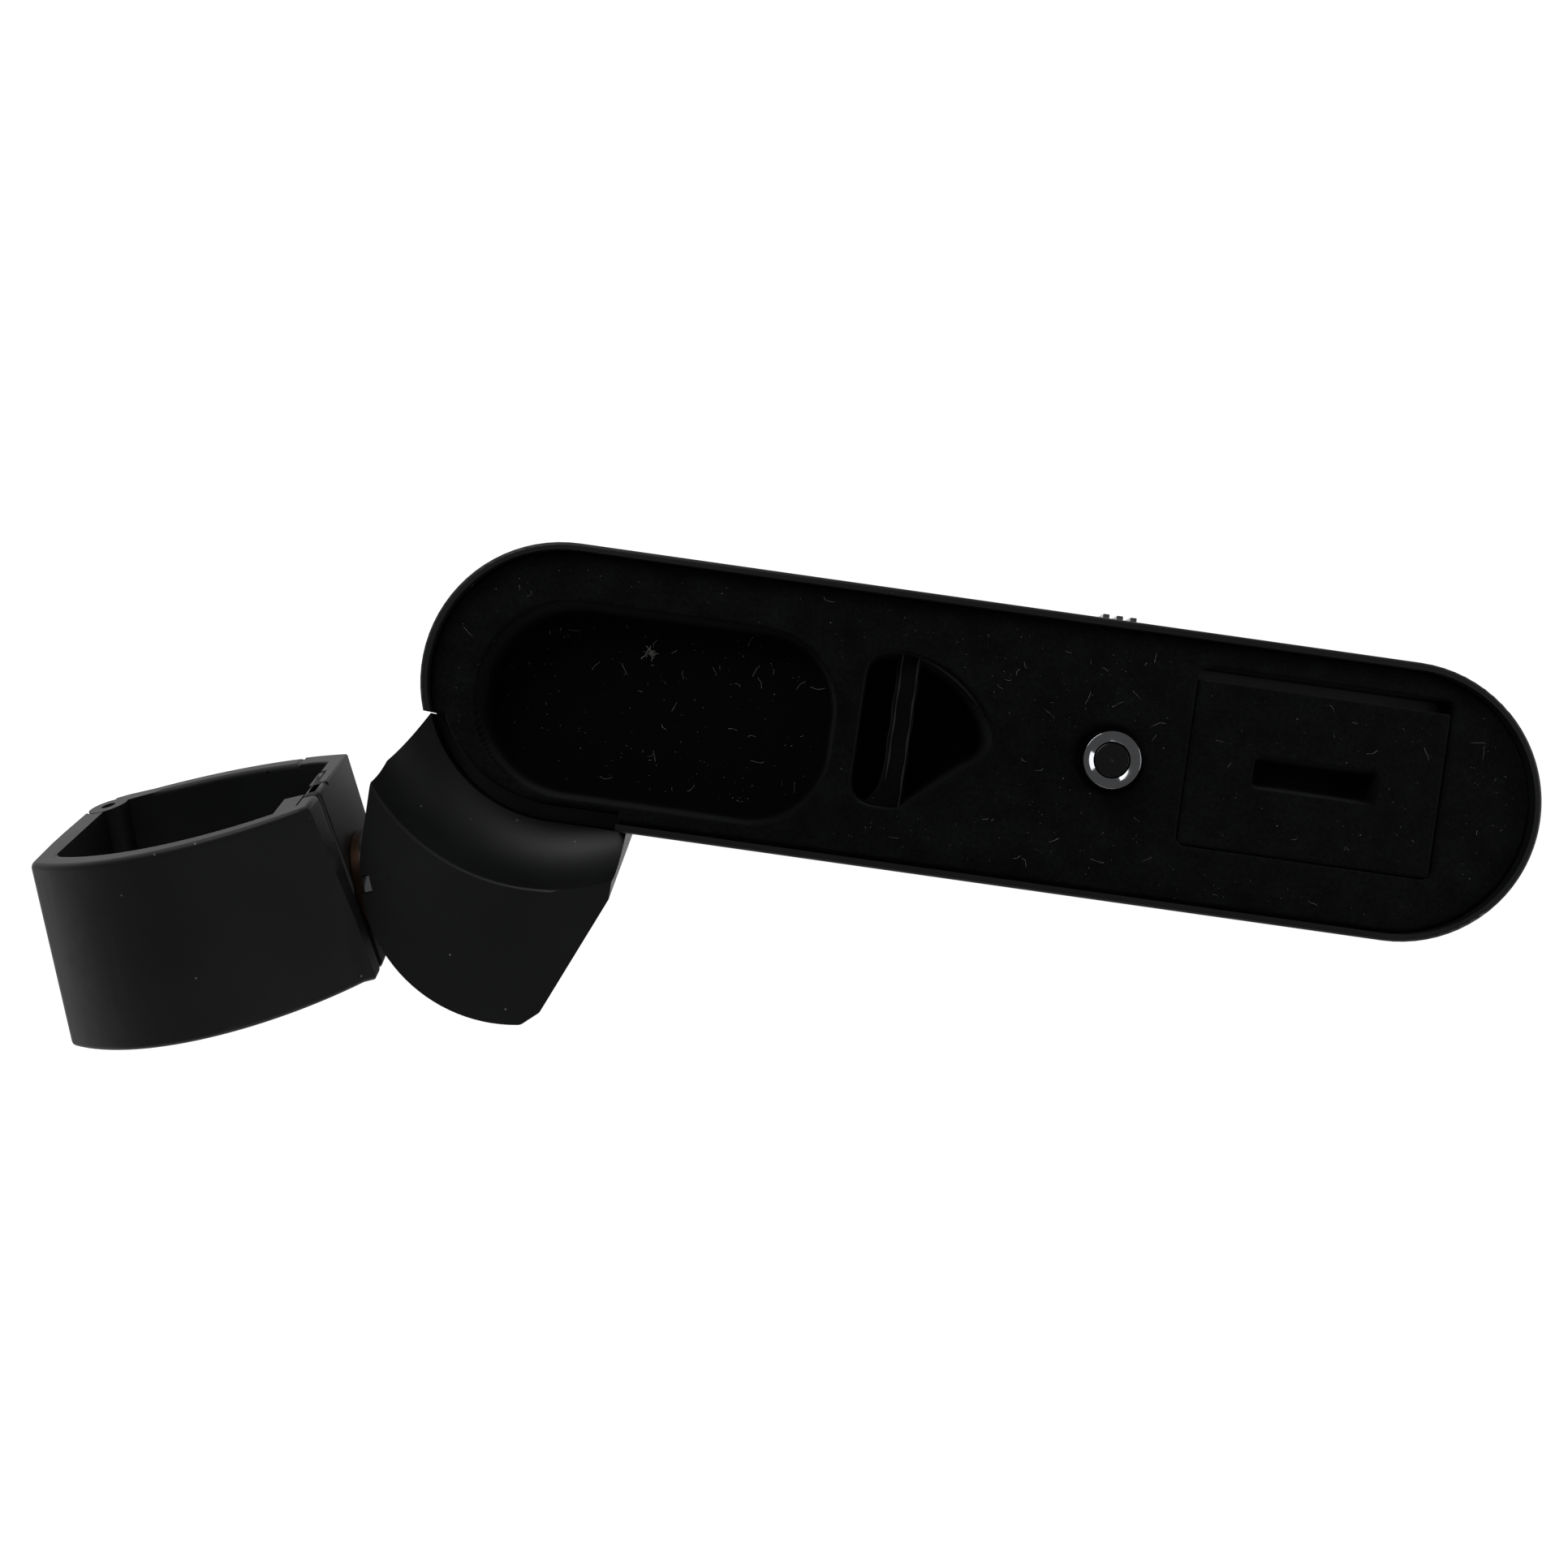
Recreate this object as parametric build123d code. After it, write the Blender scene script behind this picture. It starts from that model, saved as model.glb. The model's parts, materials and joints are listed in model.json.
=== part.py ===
"""Finger-worn clicker pod: a flat capsule with a thumb dish, a push button, a slide switch and
a battery door, carried on a friction pivot by a hinged band that closes round a finger.

Millimetres, +Z up. The origin is the centre of the pod's back face, which rests on the table.
+X runs along the pod towards the battery door, +Y towards the slide switch, +Z out of the face.
"""
import os
from math import atan, cos, degrees, hypot, radians, sin, sqrt

from build123d import *

os.makedirs("parts", exist_ok=True)

# ---------------------------------------------------------------- overall sizes
pod_length = 88.5
pod_width = 22.0
pod_depth = 13.0
shell_wall = 1.2
shell_floor = 1.4
rim_lip = 0.6            # thin rim left round the face
edge_round = 1.0         # rounding of the back edge
rim_round = 0.3          # rounding of the rim's outer edge
fit = 0.1                # gap between fixed mating plastic parts
slide_gap = 0.15         # gap round parts that travel
running = 0.05           # radial gap of a pin in its bore
thread_gap = 0.02        # between threads taken as plain cylinders

# ---------------------------------------------------------------- face
pad_recess = 0.75        # rim to pad
pad_thick = 0.8
pad_round = 0.3
plate_thick = 1.2
pad_top = pod_depth - pad_recess
plate_top = pad_top - pad_thick
plate_seat = plate_top - plate_thick
bowl_wall = 0.65
bowl_floor = 1.0

dish_length = 28.5       # thumb dish
dish_width = 15.55
dish_from_end = 7.55      # dish centre from the centre of the pod's round end
dish_aside = -1.22
dish_left_round = 7.7
dish_right_round = 6.4
dish_deep = 3.6          # below the pad at the outer end
dish_shallow = 1.4       # below the pad at the inner end

recess_left = -9.7       # bullet-shaped lanyard recess
recess_half = 6.2
recess_corner = 2.0
recess_shoulder_x = -6.5
recess_bulge = (-2.6, 4.6)
recess_nose_high = (0.3, 1.956)
recess_nose = (1.0, 0.2)
recess_nose_low = (-0.1, -1.794)
recess_foot_x = -5.7
recess_deep = 4.4
lanyard_bar_x = -6.2
lanyard_bar_wide = 1.4
lanyard_bar_drop = 1.1   # bar top below the pad
lanyard_bar_thick = 1.5

# ---------------------------------------------------------------- push button
button_x = 10.2
bezel_r = 2.3
bezel_height = 1.5       # above the pad
bezel_chamfer = 0.45
barrel_r = 1.9
barrel_length = 3.9      # below the pad
cap_r = 1.375
cap_sunk = 0.2           # cap below the bezel's top
cap_flange_r = 1.75
cap_flange_thick = 0.5
cap_play = 0.1          # cap flange below the barrel
nut_flats = 5.2
nut_thick = 1.0

# ---------------------------------------------------------------- slide switch
switch_x = 10.5
switch_travel = 1.8
knob_length = 3.2
knob_low = 5.1
knob_high = 8.0
knob_reach = 1.05        # tips of the ribs past the pod's side
rib_pitch = 1.12
rib_wide = 0.55
rib_high = 0.5
switch_body = (8.0, 3.4, 3.4)
switch_back = 0.7        # switch body behind the shell's wall
tongue_wide = 1.2
tongue_long = 1.8
channel_rise = 1.5       # channel above the board
channel_high = 1.4

# ---------------------------------------------------------------- battery door and cells
door_length = 19.95
door_width = 13.05
door_gap = 0.15
finger_groove = 1.1      # along the door's +Y edge
door_x = 26.48
door_low_y = -5.7
door_slot_length = 9.7
door_slot_width = 2.55
door_slot_centre = (26.55, 0.75)
door_slot_floor = 0.4
door_corner = 0.3
groove_corner = 0.9
door_peg_length = 0.8
door_peg_r = 0.8
door_peg_inset = 1.9
ledge_thick = 0.9
ledge_reach = 1.2
cell_r = 5.8
cell_thick = 3.05
cell_count = 2
cell_gap = 0.2
well_wall = 0.9
well_lift = 0.5          # well above the board
cell_centre = (26.48, 1.3)
base_r = 4.0             # base contact disc and the pip pressed up in it
base_thick = 0.25
base_rise = 0.2
base_pip_r = 2.2
side_contact_wide = 3.0
side_contact_sheet = 0.3
side_contact_high = 4.2
side_contact_foot = 1.6

# ---------------------------------------------------------------- circuit board
board_low = 2.6
board_thick = 1.0
board_gap = 0.3
board_hole_gap = 0.5     # round the screw posts
board_left = -9.0
board_right = 36.4
board_low_y = -7.6
board_high_y = 9.2
board_rests = [(-7.4, 5.0), (-7.4, -5.0), (18.0, -6.2), (34.0, 0.0)]
board_rest_r = 1.3
chip_place = (14.0, -6.4)
chip_size = (4.0, 4.0, 0.9)
small_places = [(14.6, 3.6), (15.9, 3.6), (17.2, 3.6), (18.5, 3.6)]
small_size = (0.6, 1.2, 0.5)
tall_places = [(5.9, -3.9), (7.3, -3.9)]
tall_size = (0.8, 1.6, 0.6)
crystal_place = (-0.6, -6.6)
crystal_size = (2.0, 1.4, 0.8)
buzzer_r = 4.25
buzzer_thick = 2.9
buzzer_x = -4.2
buzzer_port_r = 1.5
buzzer_port_deep = 1.2
sound_hole_r = 0.5
sound_hole_ring_r = 2.4
sound_hole_count = 5
tact_side = 4.5
tact_high = 2.0
plunger_r = 1.1
dome_r = 1.6
dome_rise = 0.6
dome_sheet = 0.12
tact_floor = 0.4
tact_head_room = 0.3
tact_side_room = 0.2

# ---------------------------------------------------------------- case screws
screw_r = 0.85
screw_core_r = 0.7       # thread taken as a plain cylinder
screw_head_r = 1.6
screw_head_high = 0.9
screw_length = 6.4
drive_long = 1.6         # cross recess
drive_wide = 0.4
drive_deep = 0.7
post_r = 1.7
post_low = 3.0
shell_post_more = 0.2    # shell posts wider than the plate's
screw_places = [(-31.0, -1.2), (3.6, -6.2), (3.6, 6.2), (39.2, 0.0)]

# ---------------------------------------------------------------- bracket
bracket_high = 16.0
bracket_arc_from_root = (-0.81, -3.65)   # the root is where the pod's long side turns into its end
bracket_arc_r = 11.9
shoulder_from_root = (-12.56, 3.0)
side_top_from_root = 1.6  # where the straight left side starts
bracket_foot = 2.0       # run of the arc past its centre
toe_from_root = (2.49, -14.25)
bracket_toe_round = 0.7
hip_from_root = 6.49
neck_from_root = (6.55, 0.5)
bracket_wall = 2.4
bracket_seat_gap = 0.05
bracket_roof = 0.2       # cavity's roof below the cove's foot
cover_lip = 0.9          # cover wider than the cavity all round
ridge_offset = 5.0       # ridge of the cove from the pod's side
cove_low = 10.2
cove_sag = 0.66          # how hollow the cove is; 0.5 would be a straight slope
notch_gap = 1.35         # dark gap between pad edge and bracket
notch_floor = 8.6
notch_end_from_root = 5.85
notch_start_from_root = 7.3
bracket_cover_thick = 1.6
flank_lean = 10.0        # of the bracket's inner flank, in degrees
mount_screw_r = 1.0
mount_screw_z = 4.4
mount_screws_from_root = (-3.95, 1.85)
mount_boss_r = 2.1
mount_boss_long = 3.6
mount_screw_long = 4.8
mount_head_r = 1.8
mount_head_thick = 1.2
head_well_deep = 3.6
mount_head_seat = 2.6    # head's seat from the pod's side

# ---------------------------------------------------------------- pivot
pivot_angle = 21.5       # of the pivot axis from +X
pivot_offset = 1.5       # of the axis past the bracket's arc centre
pivot_z = 11.5
seat_distance = 11.0     # spot face from the arc's centre
washer_r = 4.3
washer_thick = 0.65
bolt_r = 1.25
bolt_head_r = 2.5
bolt_head_thick = 1.1
head_recess = 0.2        # head below the hub's inner face
head_bore_gap = 0.15     # under the head, for the friction spring
bolt_tail = 0.4          # past the nut
driver_slot = (3.6, 0.7, 1.0)
stack_gap = 0.04         # left in the washer stack
pivot_wall = 1.4         # bracket wall under the spot face
pivot_nut_flats = 5.0
pivot_nut_thick = 2.0
spring_washer_r = 2.8
spring_washer_thick = 0.6
nest_gap = 0.25

# ---------------------------------------------------------------- band
band_tilt = 19.5         # of the band about the pivot axis
band_wall = 1.7
band_low = -5.6          # rims measured from the pivot axis
band_high = 9.4
band_lean = 0.187        # sideways lean of the band for each unit of its height
band_left = -24.95
band_front_left = -4.9
band_front_bulge = (-12.5, -9.7)
band_front_right = -6.3
band_back_right = 4.0
band_back_bulge = (-15.0, 9.15)
band_back_left = 8.2
band_corner = 1.5
band_past_hub = 3.0      # outline runs on, so that the hub face can be cut square
hub_thick = 3.1
hinge_wrap = 0.6         # of the gate's end round the hinge
gate_gap = 0.25
gate_end = -4.5
hinge_r = 1.5
hinge_pin_r = 0.55
pin_sunk = 0.3
catch_deep = 1.2         # catch block: bar on the back corner, leg down the hub
catch_leg = 0.9
catch_back = 0.9         # bar past the hub's inner face
catch_leg_v = -1.6
catch_leg_w = 5.8
catch_bar_v = 1.4
tab_thick = 1.5          # tab on the gate's end, inside the hub
tab_root = 3.2
tab_reach = 1.6
tab_high = 1.6

# ---------------------------------------------------------------- derived places
end_r = pod_width / 2
half_run = pod_length / 2 - end_r
board_top = board_low + board_thick
door_y = door_low_y + door_width / 2
dish_centre = (dish_from_end - half_run, dish_aside)
root = (-half_run, -end_r)
bracket_arc_centre = (root[0] + bracket_arc_from_root[0], root[1] + bracket_arc_from_root[1])
bracket_shoulder = (root[0] + shoulder_from_root[0], root[1] + shoulder_from_root[1])
bracket_side_top = root[1] + side_top_from_root
bracket_toe = (root[0] + toe_from_root[0], root[1] + toe_from_root[1])
bracket_hip = (root[0] + hip_from_root, root[1] - ridge_offset)
bracket_neck = (root[0] + neck_from_root[0], root[1] + neck_from_root[1])
notch_end_x = root[0] + notch_end_from_root
notch_start_y = root[1] + notch_start_from_root
mount_screw_x = [root[0] + place for place in mount_screws_from_root]


def save(name, *shapes):
    """Write one node; a node of several loose pieces is written as a compound."""
    solids = [piece for shape in shapes for piece in shape.solids()]
    whole = solids[0] if len(solids) == 1 else Compound(children=solids)
    whole.label = name
    export_step(whole, f"parts/{name}.step")


def prism(sketch, low, high):
    """A sketch on the XY plane raised from one height to another."""
    return Pos(0, 0, low) * extrude(sketch, high - low)


def box(x0, x1, y0, y1, z0, z1):
    return Pos((x0 + x1) / 2, (y0 + y1) / 2, (z0 + z1) / 2) * Box(x1 - x0, y1 - y0, z1 - z0)


def rod(x, y, low, high, radius):
    return Pos(x, y, (low + high) / 2) * Cylinder(radius, high - low)


def capsule(inset):
    """Outline of the pod, moved inwards by inset."""
    return SlotOverall(pod_length - 2 * inset, pod_width - 2 * inset)


def capsule_solid(inset, low, high):
    return prism(capsule(inset), low, high)


def nut_blank(flats, thick):
    return extrude(RegularPolygon(radius=flats / sqrt(3), side_count=6), thick)


# ================================================================ pod outlines
def dish_outline(grow=0.0):
    """Oval of the thumb dish: round at the outer end, squarer at the inner end."""
    blank = Rectangle(dish_length, dish_width)
    corners = blank.vertices().sort_by(Axis.X)
    blank = fillet(corners[:2], dish_left_round)
    blank = fillet(blank.vertices().sort_by(Axis.X)[-2:], dish_right_round)
    return Pos(*dish_centre) * (offset(blank, grow) if grow else blank)


def recess_outline(grow=0.0):
    """Bullet outline of the lanyard recess, nose towards the push button."""
    back = Line((recess_left, -recess_half), (recess_left, recess_half))
    shoulder = Line(back @ 1, (recess_shoulder_x, recess_half))
    flank = ThreePointArc(shoulder @ 1, recess_bulge, recess_nose_high)
    nose = ThreePointArc(flank @ 1, recess_nose, recess_nose_low)
    lower = Line(nose @ 1, (recess_foot_x, -recess_half))
    closing = Line(lower @ 1, back @ 0)
    blank = make_face([back, shoulder, flank, nose, lower, closing])
    blank = fillet(blank.vertices().sort_by(Axis.X)[:2], recess_corner)
    return offset(blank, grow) if grow else blank


def notch_zone(inner_r, outer_r, low, high):
    """Ring sector beside the bracket, where the rim is left out."""
    ring = SlotOverall(2 * (half_run + outer_r), 2 * outer_r)
    ring -= SlotOverall(2 * (half_run + inner_r), 2 * inner_r)
    wide = notch_end_x + half_run + 2 * end_r
    window = Pos(notch_end_x - wide / 2, notch_start_y - end_r) * Rectangle(wide, 2 * end_r)
    return prism(ring & window, low, high)


# ================================================================ back shell
def make_back_shell():
    outer = capsule_solid(0, 0, pod_depth)
    outer = fillet(outer.faces().sort_by(Axis.Z)[0].edges(), edge_round)
    outer = fillet(outer.faces().sort_by(Axis.Z)[-1].edges(), rim_round)
    shell = outer - capsule_solid(shell_wall, shell_floor, plate_seat)
    shell -= capsule_solid(rim_lip, plate_seat, pod_depth + 1)
    shell -= notch_zone(end_r - notch_gap, end_r + 1, notch_floor, pod_depth + 1)
    for x, y in screw_places:
        shell += rod(x, y, shell_floor, post_low, post_r + shell_post_more)
    for x, y in board_rests:
        shell += rod(x, y, shell_floor, board_low, board_rest_r)
    for x in mount_screw_x:
        shell += mount_boss(x)
        shell -= mount_bore(x, mount_screw_r)
    for x, y in screw_places:
        shell -= rod(x, y, -1, post_low + 1, screw_r + fit)
        shell -= Pos(x, y, screw_head_high / 2) * Cone(screw_head_r + fit, screw_r + fit, screw_head_high)
    for place in PolarLocations(sound_hole_ring_r, sound_hole_count):
        shell -= Pos(buzzer_x, 0, 0) * place * Cylinder(sound_hole_r, 4 * shell_floor)
    slot_low = switch_x - knob_length / 2 - slide_gap
    slot_high = switch_x + knob_length / 2 + switch_travel + slide_gap
    shell -= box(slot_low, slot_high, end_r - 2 * shell_wall, end_r + 1,
                 knob_low - slide_gap, knob_high + slide_gap)
    return shell


def side_y(x):
    """Half width of the pod's outline at a place along it."""
    past = max(0.0, abs(x) - half_run)
    return sqrt(end_r ** 2 - past ** 2)


def mount_boss(x):
    """Boss on the inside of the shell that takes a bracket screw."""
    middle = -side_y(x) + shell_wall + mount_boss_long / 2 - 0.8
    boss = Pos(x, middle, mount_screw_z) * Rot(90, 0, 0) * Cylinder(mount_boss_r, mount_boss_long)
    return boss & capsule_solid(shell_wall / 2, shell_floor / 2, plate_seat - 2)


def mount_bore(x, radius):
    return Pos(x, -side_y(x), mount_screw_z) * Rot(90, 0, 0) * Cylinder(radius, 7.0)


# ================================================================ face plate
def below_dish(drop):
    """Everything above the dish's sloping floor, lowered by drop."""
    slope = atan((dish_deep - dish_shallow) / dish_length)
    middle = pad_top - (dish_deep + dish_shallow) / 2 - drop
    slab = Pos(0, 0, 10) * Box(3 * dish_length, 3 * dish_width, 20)
    return Pos(dish_centre[0], dish_centre[1], middle) * Rot(0, -degrees(slope), 0) * slab


def dish_cut():
    return prism(dish_outline(), plate_seat - dish_deep, pad_top + 1) & below_dish(0)


def make_face_plate():
    plate = capsule_solid(rim_lip + fit, plate_seat, plate_top)
    inner = capsule_solid(shell_wall + fit, post_low, plate_seat)
    bowl = prism(dish_outline(bowl_wall), plate_seat - dish_deep, plate_seat) & below_dish(bowl_floor)
    recess = prism(recess_outline(bowl_wall), pad_top - recess_deep - bowl_floor, plate_seat)
    ledge = box(door_x - door_length / 2 - ledge_reach, door_x + door_length / 2 + ledge_reach,
                door_low_y - ledge_reach, door_low_y + door_width + finger_groove + ledge_reach,
                plate_seat - ledge_thick, plate_seat)
    well = rod(*cell_centre, board_top + well_lift, plate_seat, cell_r + cell_gap + well_wall)
    plate += (bowl + recess + ledge + well) & inner
    for x, y in screw_places:
        plate += rod(x, y, post_low + fit, plate_seat, post_r)
    plate -= dish_cut()
    plate -= prism(recess_outline(), pad_top - recess_deep, pad_top)
    bar = box(lanyard_bar_x - lanyard_bar_wide / 2, lanyard_bar_x + lanyard_bar_wide / 2,
              -recess_half - 0.3, recess_half + 0.3,
              pad_top - lanyard_bar_drop - lanyard_bar_thick, pad_top - lanyard_bar_drop)
    plate += bar
    plate -= rod(button_x, 0, 0, pod_depth, barrel_r + fit)
    plate -= door_opening(plate_seat, pod_depth)
    plate -= rod(*cell_centre, 0, pod_depth, cell_r + cell_gap)
    for x in door_peg_x():
        plate -= rod(x, door_y, plate_seat - ledge_thick - 0.1, plate_seat + 0.1, door_peg_r + running)
    plate -= notch_zone(end_r - notch_gap - fit, end_r + 1, post_low, pod_depth)
    for x, y in screw_places:
        plate -= rod(x, y, post_low - 1, screw_length + 0.3, screw_core_r)
    return plate


def door_opening(low, high):
    """Opening for the door, longer than it by the finger groove."""
    y0 = door_low_y - door_gap
    y1 = door_low_y + door_width + finger_groove
    half = door_length / 2 + door_gap
    opening = Rectangle(2 * half, y1 - y0)
    opening = fillet(opening.vertices().sort_by(Axis.Y)[-2:], groove_corner)
    return prism(Pos(door_x, (y0 + y1) / 2) * opening, low, high)


def door_peg_x():
    reach = door_length / 2 - door_peg_inset
    return (door_x - reach, door_x + reach)


def make_face_pad():
    pad = capsule_solid(rim_lip + fit, plate_top, pad_top)
    pad = fillet(pad.faces().sort_by(Axis.Z)[-1].edges(), pad_round)
    pad -= dish_cut()
    pad -= prism(recess_outline(), plate_top - 1, pad_top + 1)
    pad -= rod(button_x, 0, plate_top - 1, pad_top + 1, barrel_r + fit)
    pad -= door_opening(plate_top - 1, pad_top + 1)
    pad -= notch_zone(end_r - notch_gap - fit, end_r + 1, plate_top - 1, pod_depth)
    return pad


# ================================================================ push button
def make_button():
    low = pad_top - barrel_length
    top = pad_top + bezel_height
    head = rod(button_x, 0, pad_top, top, bezel_r)
    head = chamfer(head.faces().sort_by(Axis.Z)[-1].edges(), bezel_chamfer)
    bezel = head + rod(button_x, 0, low, pad_top, barrel_r)
    bezel -= rod(button_x, 0, low - 1, top + 1, cap_r + running)
    nut = Pos(button_x, 0, plate_seat - nut_thick) * nut_blank(nut_flats, nut_thick)
    nut -= rod(button_x, 0, 0, pod_depth, barrel_r + thread_gap)
    flange_top = low - cap_play
    cap = rod(button_x, 0, flange_top, top - cap_sunk, cap_r)
    cap += rod(button_x, 0, flange_top - cap_flange_thick, flange_top, cap_flange_r)
    return bezel, nut, cap, flange_top - cap_flange_thick


def make_tact_switch(cap_low):
    """Tactile switch on the board: hollow body, snap dome and the plunger that presses it."""
    half = tact_side / 2
    body_top = board_top + tact_high
    body = box(button_x - half, button_x + half, -half, half, board_top, body_top)
    dome_low = board_top + tact_floor
    plunger_low = dome_low + dome_rise
    body -= rod(button_x, 0, dome_low, plunger_low + tact_head_room, dome_r + tact_side_room)
    body -= rod(button_x, 0, dome_low, body_top + 1, plunger_r + running)
    dome_ball = (dome_r ** 2 + dome_rise ** 2) / (2 * dome_rise)
    outer = Pos(button_x, 0, dome_low + dome_rise - dome_ball) * Sphere(dome_ball)
    inner = Pos(button_x, 0, dome_low + dome_rise - dome_ball) * Sphere(dome_ball - dome_sheet)
    dome = (outer - inner) & rod(button_x, 0, dome_low, dome_low + 1, dome_r)
    plunger = rod(button_x, 0, plunger_low, cap_low, plunger_r)
    return body, dome, plunger


# ================================================================ slide switch
def make_slide_switch():
    sx, sy, sz = switch_body
    x0 = switch_x + switch_travel / 2 - sx / 2
    y1 = end_r - shell_wall - switch_back
    tips = end_r + knob_reach
    body = box(x0, x0 + sx, y1 - sy, y1, board_top, board_top + sz)
    low = board_top + channel_rise
    high = low + channel_high
    half = tongue_wide / 2
    body -= box(switch_x - half - slide_gap, switch_x + half + switch_travel + slide_gap,
                y1 - tongue_long - slide_gap, y1 + 1, low, high)
    tongue = box(switch_x - half, switch_x + half, y1 - tongue_long, end_r - shell_wall,
                 low + slide_gap, high - slide_gap)
    head = box(switch_x - knob_length / 2, switch_x + knob_length / 2, y1 + slide_gap + fit,
               tips - rib_high, knob_low, knob_high)
    knob = tongue + head
    for step in (-1, 0, 1):
        x = switch_x + step * rib_pitch
        knob += box(x - rib_wide / 2, x + rib_wide / 2, end_r, tips, knob_low, knob_high)
    return body, knob


# ================================================================ door and cells
def make_door():
    half = door_length / 2
    blank = prism(Pos(door_x, door_y) * Rectangle(door_length, door_width), plate_seat, plate_top)
    blank = fillet(blank.edges().filter_by(Axis.Z), door_corner)
    sx, sy = door_slot_centre
    slot = box(sx - door_slot_length / 2, sx + door_slot_length / 2, sy - door_slot_width / 2,
               sy + door_slot_width / 2, plate_seat + door_slot_floor, pad_top + 1)
    door = blank - slot
    for x in door_peg_x():
        door += rod(x, door_y, plate_seat - door_peg_length, plate_seat, door_peg_r)
    pad = box(door_x - half, door_x + half, door_low_y, door_low_y + door_width, plate_top, pad_top)
    pad = fillet(pad.edges().filter_by(Axis.Z), door_corner)
    return door, pad - slot


def make_cells():
    low = board_top + base_thick + base_rise
    levels = [low + index * cell_thick for index in range(cell_count)]
    return [rod(*cell_centre, z, z + cell_thick - thread_gap, cell_r) for z in levels]


def make_contacts():
    """Base contact under the cells and side contact against the can's well."""
    cx, cy = cell_centre
    base = rod(cx, cy, board_top, board_top + base_thick, base_r)
    base += rod(cx, cy, board_top + base_thick, board_top + base_thick + base_rise, base_pip_r)
    x = cx + cell_r + cell_gap + well_wall + slide_gap
    y0, y1 = cy - side_contact_wide / 2, cy + side_contact_wide / 2
    side = box(x, x + side_contact_sheet, y0, y1, board_top, board_top + side_contact_high)
    side += box(x, x + side_contact_foot, y0, y1, board_top, board_top + side_contact_sheet)
    return base, side


# ================================================================ circuit board
def make_board():
    board = box(board_left, board_right, board_low_y, board_high_y, board_low, board_top)
    board &= capsule_solid(shell_wall + board_gap, board_low, board_top)
    for x, y in screw_places:
        board -= rod(x, y, 0, pod_depth, post_r + board_hole_gap)
    board -= rod(buzzer_x, 0, 0, pod_depth, buzzer_port_r)
    return board


def on_board(place, size):
    """Block soldered on the board, placed by its corner nearest -X and -Y."""
    return box(place[0], place[0] + size[0], place[1], place[1] + size[1], board_top, board_top + size[2])


def make_board_parts():
    chip = on_board(chip_place, chip_size)
    small = [on_board(place, small_size) for place in small_places]
    small += [on_board(place, tall_size) for place in tall_places]
    crystal = on_board(crystal_place, crystal_size)
    buzzer = rod(buzzer_x, 0, board_top, board_top + buzzer_thick, buzzer_r)
    buzzer -= rod(buzzer_x, 0, board_top - 1, board_top + buzzer_port_deep, buzzer_port_r)
    return chip, small, crystal, buzzer


def make_case_screw(x, y):
    head = Pos(x, y, screw_head_high / 2) * Cone(screw_head_r, screw_core_r, screw_head_high)
    shank = rod(x, y, screw_head_high / 2, screw_length, screw_core_r)
    drive = Pos(x, y, 0) * Box(drive_long, drive_wide, drive_deep)
    drive += Pos(x, y, 0) * Box(drive_wide, drive_long, drive_deep)
    return head + shank - drive


# ================================================================ bracket
pivot_dir = Vector(cos(radians(pivot_angle)), sin(radians(pivot_angle)), 0)
across_dir = Vector(-sin(radians(pivot_angle)), cos(radians(pivot_angle)), 0)
arc_centre = Vector(*bracket_arc_centre, 0)
pivot_point = (arc_centre - pivot_dir * seat_distance + across_dir * pivot_offset
               + Vector(0, 0, pivot_z))
pivot_plane = Plane(origin=pivot_point, x_dir=across_dir, z_dir=pivot_dir)
face_u = -2 * washer_thick - stack_gap    # hub face of the band along the pivot axis


def pivot_rod(low, high, radius):
    """Cylinder on the pivot axis, measured from the spot face towards the bracket."""
    return pivot_plane.location * Pos(0, 0, (low + high) / 2) * Cylinder(radius, high - low)


def bracket_outline():
    cx, cy = bracket_arc_centre
    left = cx - bracket_arc_r
    start = (-half_run - sqrt(end_r ** 2 - notch_start_y ** 2), notch_start_y)
    side_top = (left, bracket_side_top)
    bend = bracket_arc_r * sin(radians(45))
    foot = (cx + bracket_foot, cy - sqrt(bracket_arc_r ** 2 - bracket_foot ** 2))
    arc = ThreePointArc((left, cy), (cx - bend, cy - bend), foot)
    points = [foot, bracket_toe, bracket_hip, bracket_neck, (-half_run, notch_start_y), start,
              bracket_shoulder, side_top, (left, cy)]
    lines = [Line(p, q) for p, q in zip(points, points[1:])]
    blank = make_face([arc, *lines])
    sharp = [v for v in blank.vertices()
             if min(hypot(v.X - p[0], v.Y - p[1]) for p in (foot, bracket_toe)) < 0.01]
    return fillet(sharp, bracket_toe_round)


def cove_cutter():
    """Scoop that climbs from beside the pod to the ridge, following the pod's outline."""
    rise = bracket_high - cove_low
    low = (end_r, cove_low)
    high = (end_r + ridge_offset, bracket_high)
    mid = (end_r + ridge_offset * cove_sag, cove_low + rise * (1 - cove_sag))
    lines = [ThreePointArc(low, mid, high), Line(high, (high[0], bracket_high + 3)),
             Line((high[0], bracket_high + 3), (0.0, bracket_high + 3)),
             Line((0.0, bracket_high + 3), (0.0, cove_low)), Line((0.0, cove_low), low)]
    profile = make_face([edge.edge() for edge in lines])
    section = Plane.XZ * profile
    turned = Pos(-half_run, 0, 0) * revolve(section, Axis.Z, 360)
    straight = Plane(origin=(-half_run, 0, 0), x_dir=(0, -1, 0), z_dir=(1, 0, 0)) * profile
    return turned + extrude(straight, half_run)


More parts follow.
